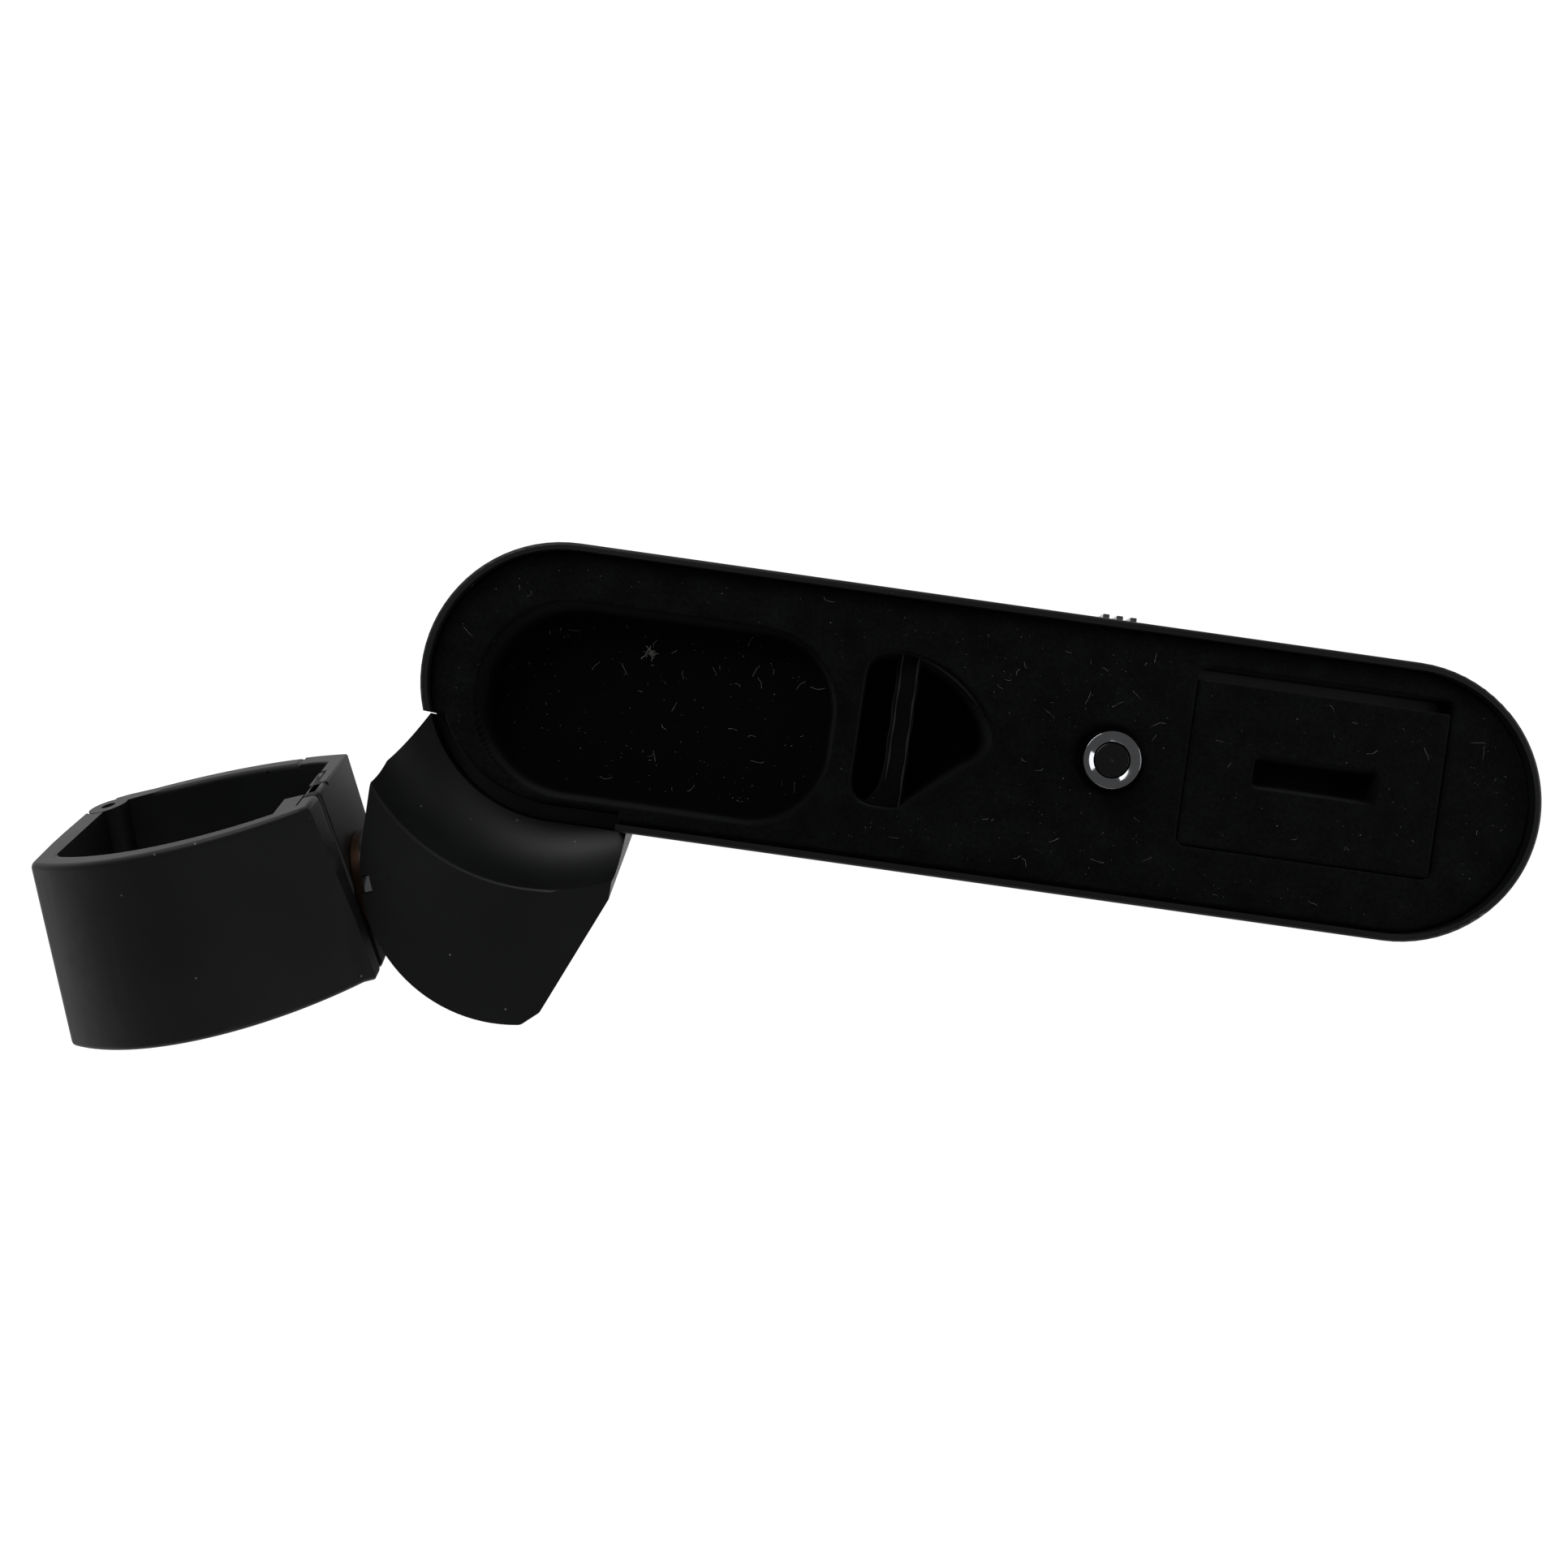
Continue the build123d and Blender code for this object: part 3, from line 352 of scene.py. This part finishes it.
knob_plastic = smoky_polycarbonate()
finishes = {
    "shell_plastic": spark_textured_abs, "flock": pile_flock, "inner_plastic": plain_abs,
    "polished_steel": polished_steel, "brushed_cap": black_disc, "steel": zinc_steel, "bronze": aged_bronze,
    "contact_gold": gold_plate, "board": green_solder_mask, "chip": chip_resin, "cell_can": nickel_plate,
    "knob_clear": knob_plastic, "plunger_plastic": natural_acetal}
slot_of = {part["node"]: part["material_slot"] for part in frame["record"]["subparts"]}
for name, node in nodes.items():
    node.data.materials.clear()
    node.data.materials.append(finishes[slot_of[name]])
print("painted", len(slot_of), "nodes with", len(finishes), "finishes")


# %% [markdown]
# ## From arrays to a mesh
# A new piece is one or more grids of points. The helper below takes a grid of rows and columns, joins each
# four neighbours with a face and drops faces that have no area. Doubles are merged afterwards.

# %% Grid helper
def grid_faces(rows, columns, keep=None, start=0, wrap=False):
    """Quads of a rows x columns grid of points, counter-clockwise seen from +Z when rows run along X."""
    i, j = np.meshgrid(np.arange(rows - 1), np.arange(columns - (0 if wrap else 1)), indexing="ij")
    k = (j + 1) % columns
    quads = np.stack([i * columns + j, (i + 1) * columns + j, (i + 1) * columns + k, i * columns + k], axis=-1)
    if keep is not None:
        quads = quads[keep]
    return quads.reshape(-1, 4) + start


def make_piece(name, points, quads, material, body, merge=1e-6):
    """Mesh object from points in mm and quads, smooth, merged, riding on a body."""
    mesh = bpy.data.meshes.new(name)
    mesh.from_pydata((np.asarray(points) * MM).tolist(), [], np.asarray(quads).tolist())
    work = bmesh.new()
    work.from_mesh(mesh)
    bmesh.ops.remove_doubles(work, verts=work.verts, dist=merge)
    bmesh.ops.dissolve_degenerate(work, edges=work.edges, dist=merge)
    work.to_mesh(mesh)
    work.free()
    mesh.shade_smooth()
    mesh.materials.append(material)
    piece = bpy.data.objects.new(name, mesh)
    bpy.context.scene.collection.objects.link(piece)
    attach(piece, body)
    print(name, "faces", len(mesh.polygons))
    return piece


def lathe(name, profile, centre, material, body, around=96):
    """Surface of revolution: each profile point (radius, height) goes round an upright axis at centre."""
    profile = np.asarray(profile, float)
    angle = np.linspace(0, 2 * np.pi, around, endpoint=False)
    points = np.stack([centre[0] + profile[:, :1] * np.cos(angle), centre[1] + profile[:, :1] * np.sin(angle),
                       np.repeat(profile[:, 1:], around, axis=1)], axis=-1)
    return make_piece(name, points.reshape(-1, 3), grid_faces(len(profile), around, wrap=True), material, body)


def rounded_profile(corners, radius, steps=4):
    """Profile through corners, each inner corner cut by a short curve (a quadratic bend) of that radius."""
    corners = np.asarray(corners, float)
    out = [corners[0]]
    for before, here, after in zip(corners, corners[1:], corners[2:]):
        a, b = before - here, after - here
        la, lb = np.linalg.norm(a), np.linalg.norm(b)
        r = min(radius, la / 2.05, lb / 2.05)
        p, q = here + a / la * r, here + b / lb * r
        t = np.linspace(0, 1, steps + 1)[:, None]
        out.extend((1 - t) ** 2 * p + 2 * t * (1 - t) * here + t ** 2 * q)
    out.append(corners[-1])
    return np.array(out)


# %% [markdown]
# ## The flocked face
# The pad is one skin that dips into the dish and the recess. It is worked out as a height over the plan:
# for each point the signed distance to an outline says how far it is inside a hollow, and a smooth step of
# that distance takes the skin down the wall. Grid lines crowd where the walls are steep.

# %% Outlines as signed distances
DISH_CENTRE = (-25.7, -1.22)
DISH_HALF = (14.25, 7.775)
DISH_ROUND_OUTER, DISH_ROUND_INNER = 7.7, 6.4
DISH_DEEP, DISH_SHALLOW = 3.6, 1.4
RECESS_DEEP = 4.4
GROOVE = 1.1
GAP = 0.15
PAD_ROUND = 0.32
NOTCH_RADIUS = 9.55
NOTCH_X, NOTCH_Y = -27.4, -3.7


def inside_box(x, y, centre, half, radius):
    """Distance inside a rounded rectangle, positive inside."""
    qx = np.abs(x - centre[0]) - (half[0] - radius)
    qy = np.abs(y - centre[1]) - (half[1] - radius)
    return radius - np.hypot(np.maximum(qx, 0), np.maximum(qy, 0)) - np.minimum(np.maximum(qx, qy), 0)


def inside_dish(x, y):
    """Rounded rectangle whose corners are rounder at the outer end."""
    radius = np.where(x < DISH_CENTRE[0], DISH_ROUND_OUTER, DISH_ROUND_INNER)
    return inside_box(x, y, DISH_CENTRE, DISH_HALF, radius)


def bezier(p, q, r, steps=14):
    t = np.linspace(0, 1, steps)[:, None]
    return (1 - t) ** 2 * np.array(p) + 2 * t * (1 - t) * np.array(q) + t ** 2 * np.array(r)


def bullet_outline():
    """Closed outline of the recess: flat back with round corners, long curved flank, round nose."""
    return np.concatenate([
        bezier((-9.7, 3.9), (-9.7, 6.2), (-7.4, 6.2)), bezier((-6.5, 6.2), (-2.2, 5.6), (0.1, 2.2)),
        bezier((0.1, 2.2), (1.75, 0.0), (0.1, -1.6)), bezier((-0.9, -2.3), (-3.0, -4.1), (-5.0, -5.6)),
        bezier((-5.3, -5.85), (-5.8, -6.2), (-6.4, -6.2)), bezier((-7.4, -6.2), (-9.7, -6.2), (-9.7, -3.9))])


def inside_polygon(x, y, outline):
    """Distance to the nearest side, positive inside: sides crossed by a ray decide inside or out."""
    a, b = outline, np.roll(outline, -1, axis=0)
    px, py = x.reshape(-1, 1), y.reshape(-1, 1)
    side = b - a
    t = ((px - a[:, 0]) * side[:, 0] + (py - a[:, 1]) * side[:, 1]) / np.maximum((side ** 2).sum(1), 1e-12)
    t = np.clip(t, 0, 1)
    away = np.hypot(px - a[:, 0] - t * side[:, 0], py - a[:, 1] - t * side[:, 1]).min(1)
    rising = (a[:, 1] > py) != (b[:, 1] > py)
    dy = np.where(np.abs(side[:, 1]) < 1e-12, 1e-12, side[:, 1])
    crossed = rising & (px < side[:, 0] * (py - a[:, 1]) / dy + a[:, 0])
    sign = np.where(crossed.sum(1) % 2 == 1, 1.0, -1.0)
    return (away * sign).reshape(x.shape)


bullet = bullet_outline()
print("bullet outline points", len(bullet))


# %% Height of the flocked skin
def step_down(distance, start, run, power=2.2):
    """0 outside, 1 inside: one minus the exponential of minus a power of the distance past start."""
    return 1 - np.exp(-(np.maximum(distance - start, 0) / run) ** power)


def quarter_round(distance, radius):
    """Drop of an edge rounded with that radius, at a distance inside it."""
    past = np.clip(radius - distance, 0, radius)
    return radius - np.sqrt(np.maximum(radius ** 2 - past ** 2, 0))


def pad_side_low(x):
    """Lower side of the pad at x; beside the bracket the pad is narrower."""
    past = np.maximum(np.abs(x) - PAD_RUN, 0)
    wide = -np.sqrt(np.maximum(PAD_RADIUS ** 2 - past ** 2, 0))
    narrow = -np.sqrt(np.maximum(NOTCH_RADIUS ** 2 - past ** 2, 0))
    beside = x < NOTCH_X
    return np.where(beside, np.maximum(wide, np.minimum(narrow, NOTCH_Y)), wide)


def pad_side_high(x):
    past = np.maximum(np.abs(x) - PAD_RUN, 0)
    return np.sqrt(np.maximum(PAD_RADIUS ** 2 - past ** 2, 0))


def inside_pad(x, y):
    """Distance inside the pad's outline."""
    rho = np.hypot(np.maximum(np.abs(x) - PAD_RUN, 0), y)
    full = PAD_RADIUS - rho
    cut = np.maximum(NOTCH_RADIUS - rho, np.maximum(x - NOTCH_X, y - NOTCH_Y))
    return np.minimum(full, cut)


door_centre = (door_low + door_high) / 2
DOOR_HALF = (door_high - door_low) / 2
OPENING_CENTRE = (door_centre[0], door_centre[1] + (GROOVE - GAP) / 2)
OPENING_HALF = (DOOR_HALF[0] + GAP, DOOR_HALF[1] + (GROOVE + GAP) / 2)
SEAT = mm_box("battery_door")[0][2] + 0.8


def skin_height(x, y):
    """Height of the flock: pad top, less its rounded edge, dish, recess, door opening and stud's ring."""
    along = np.clip((x - DISH_CENTRE[0] + DISH_HALF[0]) / (2 * DISH_HALF[0]), 0, 1)
    dish = (DISH_DEEP + (DISH_SHALLOW - DISH_DEEP) * along) * step_down(inside_dish(x, y), -0.1, 0.3)
    recess = RECESS_DEEP * step_down(inside_polygon(x, y, bullet), -0.1, 0.3)
    opening = inside_box(x, y, OPENING_CENTRE, OPENING_HALF, 0.9)
    door = (PAD_TOP - SEAT - 0.05) * np.clip((opening + 0.02) / 0.12, 0, 1) + quarter_round(-opening, 0.2)
    round_stud = np.hypot(x - BUTTON_X, y)
    ring = 0.45 * np.exp(-((round_stud - 2.45) / 0.3) ** 2)
    nap = 0.012 * np.sin(x * 2.9 + 1.3 * np.sin(y * 1.7)) * np.sin(y * 3.3 + 1.1 * np.sin(x * 2.1))
    return (PAD_TOP + 0.02 + nap - quarter_round(np.maximum(inside_pad(x, y), 0), PAD_ROUND)
            - np.minimum(np.maximum(np.maximum(dish, recess), door), 9) - ring)


def crowd(low, high, spacing, places, near=(0.0, 0.06, 0.14, 0.25, 0.4, 0.6)):
    """Grid lines from low to high at a spacing, with extra lines crowded at the given places."""
    lines = list(np.arange(low, high, spacing)) + [high]
    for place in places:
        lines += [place - n for n in near] + [place + n for n in near]
    lines = np.unique(np.round([line for line in lines if low <= line <= high], 4))
    return lines[np.concatenate([[True], np.diff(lines) > 0.02])]


opening_low = np.array(OPENING_CENTRE) - OPENING_HALF
opening_high = np.array(OPENING_CENTRE) + OPENING_HALF
end_angle = np.linspace(0, np.pi / 2, 60)
left_x = -PAD_RUN - PAD_RADIUS * np.cos(end_angle)
xs = np.unique(np.round(np.concatenate([
    crowd(-PAD_RUN, 2.0, 0.17, [DISH_CENTRE[0] + DISH_HALF[0], -9.7, 0.9, NOTCH_X]),
    crowd(2.0, PAD_RUN, 0.3, [opening_low[0], opening_high[0], BUTTON_X - 2.4, BUTTON_X + 2.4]),
    left_x, -left_x, [-39.95, -39.8, -39.6, opening_high[0] - 0.05, opening_high[0] + 0.05]]), 4))
ys = crowd(-PAD_RADIUS, PAD_RADIUS, 0.18, [opening_low[1], opening_high[1], DISH_CENTRE[1] - DISH_HALF[1],
                                          DISH_CENTRE[1] + DISH_HALF[1], -6.2, 6.2, 0.0])
grid_x = np.repeat(xs[:, None], len(ys) + 2, axis=1)
inner_y = np.clip(np.repeat(ys[None, :], len(xs), axis=0), pad_side_low(xs)[:, None], pad_side_high(xs)[:, None])
grid_y = np.concatenate([inner_y[:, :1], inner_y, inner_y[:, -1:]], axis=1)
grid_z = skin_height(grid_x, grid_y)
grid_z[:, 0] = grid_z[:, -1] = PAD_UNDER
middle_x = (grid_x[:-1, :-1] + grid_x[1:, 1:]) / 2
middle_y = (grid_y[:-1, :-1] + grid_y[1:, 1:]) / 2
over_door = inside_box(middle_x, middle_y, (door_centre[0], door_centre[1] - 0.5),
                       (DOOR_HALF[0] + 0.03, DOOR_HALF[1] + 0.53), 0.05) > 0
in_opening = inside_box(middle_x, middle_y, OPENING_CENTRE, OPENING_HALF, 0.9) > 0.1
under_stud = np.hypot(middle_x - BUTTON_X, middle_y) < 2.1
keep = ~(over_door & in_opening) & ~under_stud
face_points = np.stack([grid_x, grid_y, grid_z], axis=-1)
flock_face = make_piece("flock_face", face_points.reshape(-1, 3), grid_faces(*grid_x.shape, keep=keep), pile_flock,
                        "pod")
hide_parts("face_pad")


# %% [markdown]
# ## The bar across the recess
# A flocked bar crosses the recess for a lanyard to be tied to. It is a rounded section carried along Y.
# Towards its -Y end it grows wider, as a web that stiffens the corner.

# %% Lanyard bar
BAR_X, BAR_TOP, BAR_HALF, BAR_THICK = -6.2, PAD_TOP - 1.02, 0.9, 1.8
run = np.linspace(-6.25, 6.25, 70)
turn_angle = np.linspace(0, 2 * np.pi, 28, endpoint=False)
squarish = 0.7
cx = np.sign(np.cos(turn_angle)) * np.abs(np.cos(turn_angle)) ** squarish
cz = np.sign(np.sin(turn_angle)) * np.abs(np.sin(turn_angle)) ** squarish
web = 1.5 * np.clip((-run - 3.2) / 3.0, 0, 1) ** 2
bar_x = BAR_X + cx[None, :] * (BAR_HALF + web[:, None] * (cx[None, :] < 0)) + 0.04 * np.sin(run * 2.2)[:, None]
bar_z = BAR_TOP + 0.03 - BAR_THICK / 2 + cz[None, :] * BAR_THICK / 2 + 0 * bar_x
bar_points = np.stack([bar_x, np.repeat(run[:, None], len(cx), axis=1), bar_z], axis=-1)
lanyard_bar = make_piece("lanyard_bar", bar_points.reshape(-1, 3), grid_faces(len(run), len(cx), wrap=True),
                         bar_flock, "pod")

# %% [markdown]
# ## The battery door's skin
# The door carries its own flock, cut with a long slot to pry it out. The same height method gives a
# rounded edge, the slot's walls and its floor.

# %% Door skin
SLOT_CENTRE, SLOT_HALF = (26.55, 0.75), (4.85, 1.275)
SLOT_DEEP = PAD_TOP - SEAT - 0.45


def door_height(x, y):
    """Pad top, less the rounded edge and the slot."""
    edge = inside_box(x, y, door_centre, DOOR_HALF, 0.3)
    slot = inside_box(x, y, SLOT_CENTRE, SLOT_HALF, 0.5)
    return (PAD_TOP + 0.02 - quarter_round(np.maximum(edge, 0), 0.22)
            - SLOT_DEEP * step_down(slot, -0.15, 0.3) + 0.01 * np.sin(x * 3.1) * np.sin(y * 2.7))


door_xs = crowd(door_low[0], door_high[0], 0.3, [door_low[0], door_high[0], SLOT_CENTRE[0] - SLOT_HALF[0],
                                                 SLOT_CENTRE[0] + SLOT_HALF[0]], (0.0, 0.05, 0.1, 0.16, 0.24, 0.36))
door_ys = crowd(door_low[1], door_high[1], 0.3, [door_low[1], door_high[1], SLOT_CENTRE[1] - SLOT_HALF[1],
                                                 SLOT_CENTRE[1] + SLOT_HALF[1]], (0.0, 0.05, 0.1, 0.16, 0.24, 0.36))
skirt = lambda lines: np.concatenate([lines[:1], lines, lines[-1:]])
dx, dy = np.meshgrid(skirt(door_xs), skirt(door_ys), indexing="ij")
dz = door_height(dx, dy)
dz[0, :] = dz[-1, :] = PAD_UNDER
dz[:, 0] = dz[:, -1] = PAD_UNDER
door_skin = make_piece("door_skin", np.stack([dx, dy, dz], axis=-1).reshape(-1, 3), grid_faces(*dx.shape),
                       pile_flock, "door")
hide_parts("door_pad")

# %% [markdown]
# ## Stud and button
# The stud is turned from steel bar and polished: a rim, a broad chamfer and a cone that falls to the
# button. Both are profiles spun round the button's axis, with tiny rounds that catch light as thin rings.

# %% Stud and button
stud_top, stud_r = bezel_high[2], (bezel_high[0] - bezel_low[0]) / 2
STUD_BORE, STUD_NECK = 1.43, 1.9
stud_under = PAD_TOP - 0.35
stud_profile = rounded_profile([(STUD_BORE, bezel_low[2]), (STUD_BORE, stud_top - 0.225), (1.85, stud_top - 0.01),
                                (1.9, stud_top), (stud_r - 0.06, stud_top - 0.11), (stud_r, stud_top - 0.27),
                                (stud_r, stud_under), (STUD_NECK, stud_under), (STUD_NECK, bezel_low[2]),
                                (STUD_BORE, bezel_low[2])], 0.035, 3)
stud = lathe("polished_stud", stud_profile[::-1], (BUTTON_X, 0.0), polished_steel, "pod")
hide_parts("button_bezel")

cap_r, cap_top = 1.375, cap_high[2]
FLANGE_R, FLANGE_THICK, DIMPLE = 1.75, 0.5, 0.04
flange_top = cap_low[2] + FLANGE_THICK
cap_profile = rounded_profile([(0.0, cap_top - DIMPLE), (0.06, cap_top - DIMPLE), (0.1, cap_top),
                               (cap_r - 0.09, cap_top), (cap_r, cap_top - 0.1), (cap_r, flange_top),
                               (FLANGE_R, flange_top), (FLANGE_R, cap_low[2]), (0.0, cap_low[2])], 0.04, 3)
button = lathe("button_disc", cap_profile, (BUTTON_X, 0.0), black_disc, "button")
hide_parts("button_cap")


# %% [markdown]
# ## Eased edges
# Moulded parts have no sharp edges: each one is eased by a few tenths of a millimetre, and that round is
# what draws the outline of a black part. A copy of the model's part is merged, its flat triangles are
# joined, and its sharp edges are bevelled.

# %% Eased copies
def eased_copy(node, name, body, width_mm, eased, segments=4, sharp_deg=32.0, clamp=False):
    """Copy of a node whose sharp edges are rounded where eased(middles in mm) says so."""
    mesh = nodes[node].data.copy()
    mesh.name = name
    if "custom_normal" in mesh.attributes:
        mesh.attributes.remove(mesh.attributes["custom_normal"])
    work = bmesh.new()
    work.from_mesh(mesh)
    bmesh.ops.remove_doubles(work, verts=work.verts, dist=2e-6)
    bmesh.ops.dissolve_degenerate(work, edges=work.edges, dist=1e-6)
    bmesh.ops.dissolve_limit(work, angle_limit=math.radians(0.6), verts=work.verts, edges=work.edges)
    sharp = [e for e in work.edges if len(e.link_faces) == 2 and e.calc_face_angle(0) > math.radians(sharp_deg)
             and all(eased(np.array(v.co) / MM) for v in e.verts)]
    bmesh.ops.bevel(work, geom=sharp, offset=width_mm * MM, offset_type="OFFSET", segments=segments, profile=0.5,
                    affect="EDGES", clamp_overlap=clamp, loop_slide=True)
    bmesh.ops.recalc_face_normals(work, faces=work.faces)
    work.to_mesh(mesh)
    work.free()
    mesh.shade_smooth()
    for edge in mesh.edges:
        edge.use_edge_sharp = False
    mesh.set_sharp_from_angle(angle=math.radians(40))
    piece = bpy.data.objects.new(name, mesh)
    bpy.context.scene.collection.objects.link(piece)
    shading = piece.modifiers.new("flat_faces_stay_flat", "WEIGHTED_NORMAL")
    shading.keep_sharp = True
    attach(piece, body)
    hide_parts(node)
    print(name, "faces", len(mesh.polygons), "rounded edges", len(sharp))
    return piece


PIVOT = np.array([-44.8443, -17.2859, 11.5])
SWING, TILT, LEAN = math.radians(21.5), math.radians(19.5), 0.187
ALONG = np.array([math.cos(SWING), math.sin(SWING), 0.0])
ACROSS = np.array([-math.sin(SWING), math.cos(SWING), 0.0])
BAND_UP = ACROSS * math.cos(TILT) + np.array([0, 0, math.sin(TILT)])
BAND_OUT = ACROSS * math.sin(TILT) - np.array([0, 0, math.cos(TILT)])
BAND_LOW, BAND_HIGH, HINGE_U, HINGE_V = -5.6, 9.4, -23.45, 6.7


def band_place(point):
    """Place in the band's own frame: along, outwards, and up its tilted axis."""
    away = point - PIVOT
    up = away @ BAND_UP
    return away @ ALONG - LEAN * up, away @ BAND_OUT, up


def on_rim(point):
    """On a rim of the band, but clear of the hinge, whose knuckles meet the walls in small steps."""
    along, out, up = band_place(point)
    return min(abs(up - BAND_LOW), abs(up - BAND_HIGH)) < 0.05 and math.hypot(along - HINGE_U, out - HINGE_V) > 2.6


bracket_top = mm_box("bracket_arm")[1][2]
POD_RADIUS = shell_high[1]
POD_RUN = shell_high[0] - POD_RADIUS
RIDGE_OFFSET = 5.0


def on_ridge(point):
    """On the curved ridge of the bracket, which runs at one distance from the pod's side."""
    away = math.hypot(min(point[0] + POD_RUN, 0), point[1]) - POD_RADIUS
    return abs(away - RIDGE_OFFSET) < 0.35 and point[2] > bracket_top - 0.1


eased_copy("bracket_arm", "bracket", "pod", 0.25, on_ridge)
eased_copy("band_frame", "band_back", "band", 0.42, on_rim)
eased_copy("band_gate", "band_front", "gate", 0.42, on_rim)
eased_copy("catch_block", "band_catch", "band", 0.18, lambda point: band_place(point)[2] > BAND_HIGH - 0.1)
eased_copy("slide_switch_knob", "switch_knob", "switch", 0.08, lambda point: True, clamp=True)

# %% [markdown]
# ## Lint
# Flock holds lint: pale cotton fibres half a millimetre to two long, and specks. Each fibre is a bent
# three-sided tube laid on the face, and each speck a tiny eight-sided grain. The draws are seeded.

# %% Lint on the flock and the plastic
def pale_lint():
    """Undyed cotton: off-white, fully matte, a little uneven along the fibre."""
    material, tree = new_material("pale_cotton_lint")
    place = put(tree, "ShaderNodeTexCoord").outputs["Object"]
    cloud = put(tree, "ShaderNodeTexNoise", {"Scale": 1 / (0.5 * MM), "Detail": 2.0}, {"Vector": place})
    colour = ramp(tree, cloud.outputs["Fac"], [(0.3, "#4a4a48"), (0.7, "#86867f")])
    body = put(tree, "ShaderNodeBsdfPrincipled", {"IOR": 1.53, "Specular IOR Level": 0.2, "Roughness": 0.9},
               {"Base Color": colour})
    finish_material(tree, body.outputs[0])
    return material


lint = pale_lint()
rng = np.random.default_rng(41)


def lint_piece(name, body, spots, height, fibres, specks, longest=1.5, thick=0.013):
    """Fibres and specks at random spots: spots(n) gives plan points, height(x, y) the surface there."""
    points, quads = [], []
    for place in spots(fibres):
        steps, length = 7, longest * rng.uniform(0.2, 1.0) ** 1.6
        heading = rng.uniform(0, 2 * np.pi) + np.cumsum(rng.normal(0, 0.28, steps))
        path = place + np.cumsum(np.stack([np.cos(heading), np.sin(heading)], 1) * length / steps, axis=0)
        level = height(path[:, 0], path[:, 1]) + thick + 0.06 * rng.random() * np.sin(np.linspace(0, np.pi, steps))
        across = np.stack([-np.sin(heading), np.cos(heading)], 1)
        ring = [np.column_stack([path + across * thick * math.cos(a), level + thick * math.sin(a)])
                for a in (math.pi / 2, math.pi / 2 + 2.094, math.pi / 2 + 4.189)]
        start = len(points)
        points.extend(np.stack(ring, 1).reshape(-1, 3))
        for i in range(steps - 1):
            for j in range(3):
                k = (j + 1) % 3
                quads.append((start + 3 * i + j, start + 3 * i + k, start + 3 * i + 3 + k, start + 3 * i + 3 + j))
        quads.append((start, start + 2, start + 1))
        last = start + 3 * (steps - 1)
        quads.append((last, last + 1, last + 2))
    for place in spots(specks):
        r = rng.uniform(0.014, 0.036)
        x, y = place
        z = float(height(np.array([x]), np.array([y]))[0]) + 0.6 * r
        start = len(points)
        points.extend([(x + r, y, z), (x, y + r, z), (x - r, y, z), (x, y - r, z), (x, y, z + r), (x, y, z - r)])
        for a, b in ((0, 1), (1, 2), (2, 3), (3, 0)):
            quads.append((start + a, start + b, start + 4))
            quads.append((start + b, start + a, start + 5))
    mesh = bpy.data.meshes.new(name)
    mesh.from_pydata((np.array([tuple(q) for q in points]) * MM).tolist(), [],
                     [tuple(int(i) for i in q) for q in quads])
    mesh.materials.append(lint)
    work = bmesh.new()
    work.from_mesh(mesh)
    bmesh.ops.recalc_face_normals(work, faces=work.faces)
    work.to_mesh(mesh)
    work.free()
    piece = bpy.data.objects.new(name, mesh)
    bpy.context.scene.collection.objects.link(piece)
    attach(piece, body)
    print(name, "fibres", fibres, "specks", specks)
    return piece


def face_spots(count):
    """Points on the flat of the pad: clear of its edge, stud, door opening and recess."""
    kept = []
    while len(kept) < count:
        x, y = rng.uniform(-PAD_RUN - PAD_RADIUS, PAD_RUN + PAD_RADIUS), rng.uniform(-PAD_RADIUS, PAD_RADIUS)
        here = np.array([[x]]), np.array([[y]])
        clear = (inside_pad(*here)[0, 0] > 0.9 and math.hypot(x - BUTTON_X, y) > 3.6
                 and inside_box(*here, OPENING_CENTRE, OPENING_HALF, 0.9)[0, 0] < -1.9
                 and inside_polygon(*here, bullet)[0, 0] < -1.0
                 and abs(inside_dish(*here)[0, 0]) > 1.2)
        if clear:
            kept.append((x, y))
    return np.array(kept).reshape(-1, 2)


def door_spots(count):
    kept = []
    while len(kept) < count:
        x, y = rng.uniform(door_low[0] + 1, door_high[0] - 1), rng.uniform(door_low[1] + 1, door_high[1] - 1)
        if inside_box(np.array([[x]]), np.array([[y]]), SLOT_CENTRE, SLOT_HALF, 0.25)[0, 0] < -1.0:
            kept.append((x, y))
    return np.array(kept).reshape(-1, 2)


def fluff_spots(count):
    """Close round one place on the dish's floor, where a curl of fluff lies."""
    return np.array([-27.0, 3.5]) + rng.normal(0, 0.13, (count, 2))


lint_piece("face_lint", "pod", face_spots, skin_height, 90, 420)
lint_piece("door_lint", "door", door_spots, door_height, 14, 60)
lint_piece("dish_fluff", "pod", fluff_spots, skin_height, 26, 6, longest=0.7, thick=0.03)
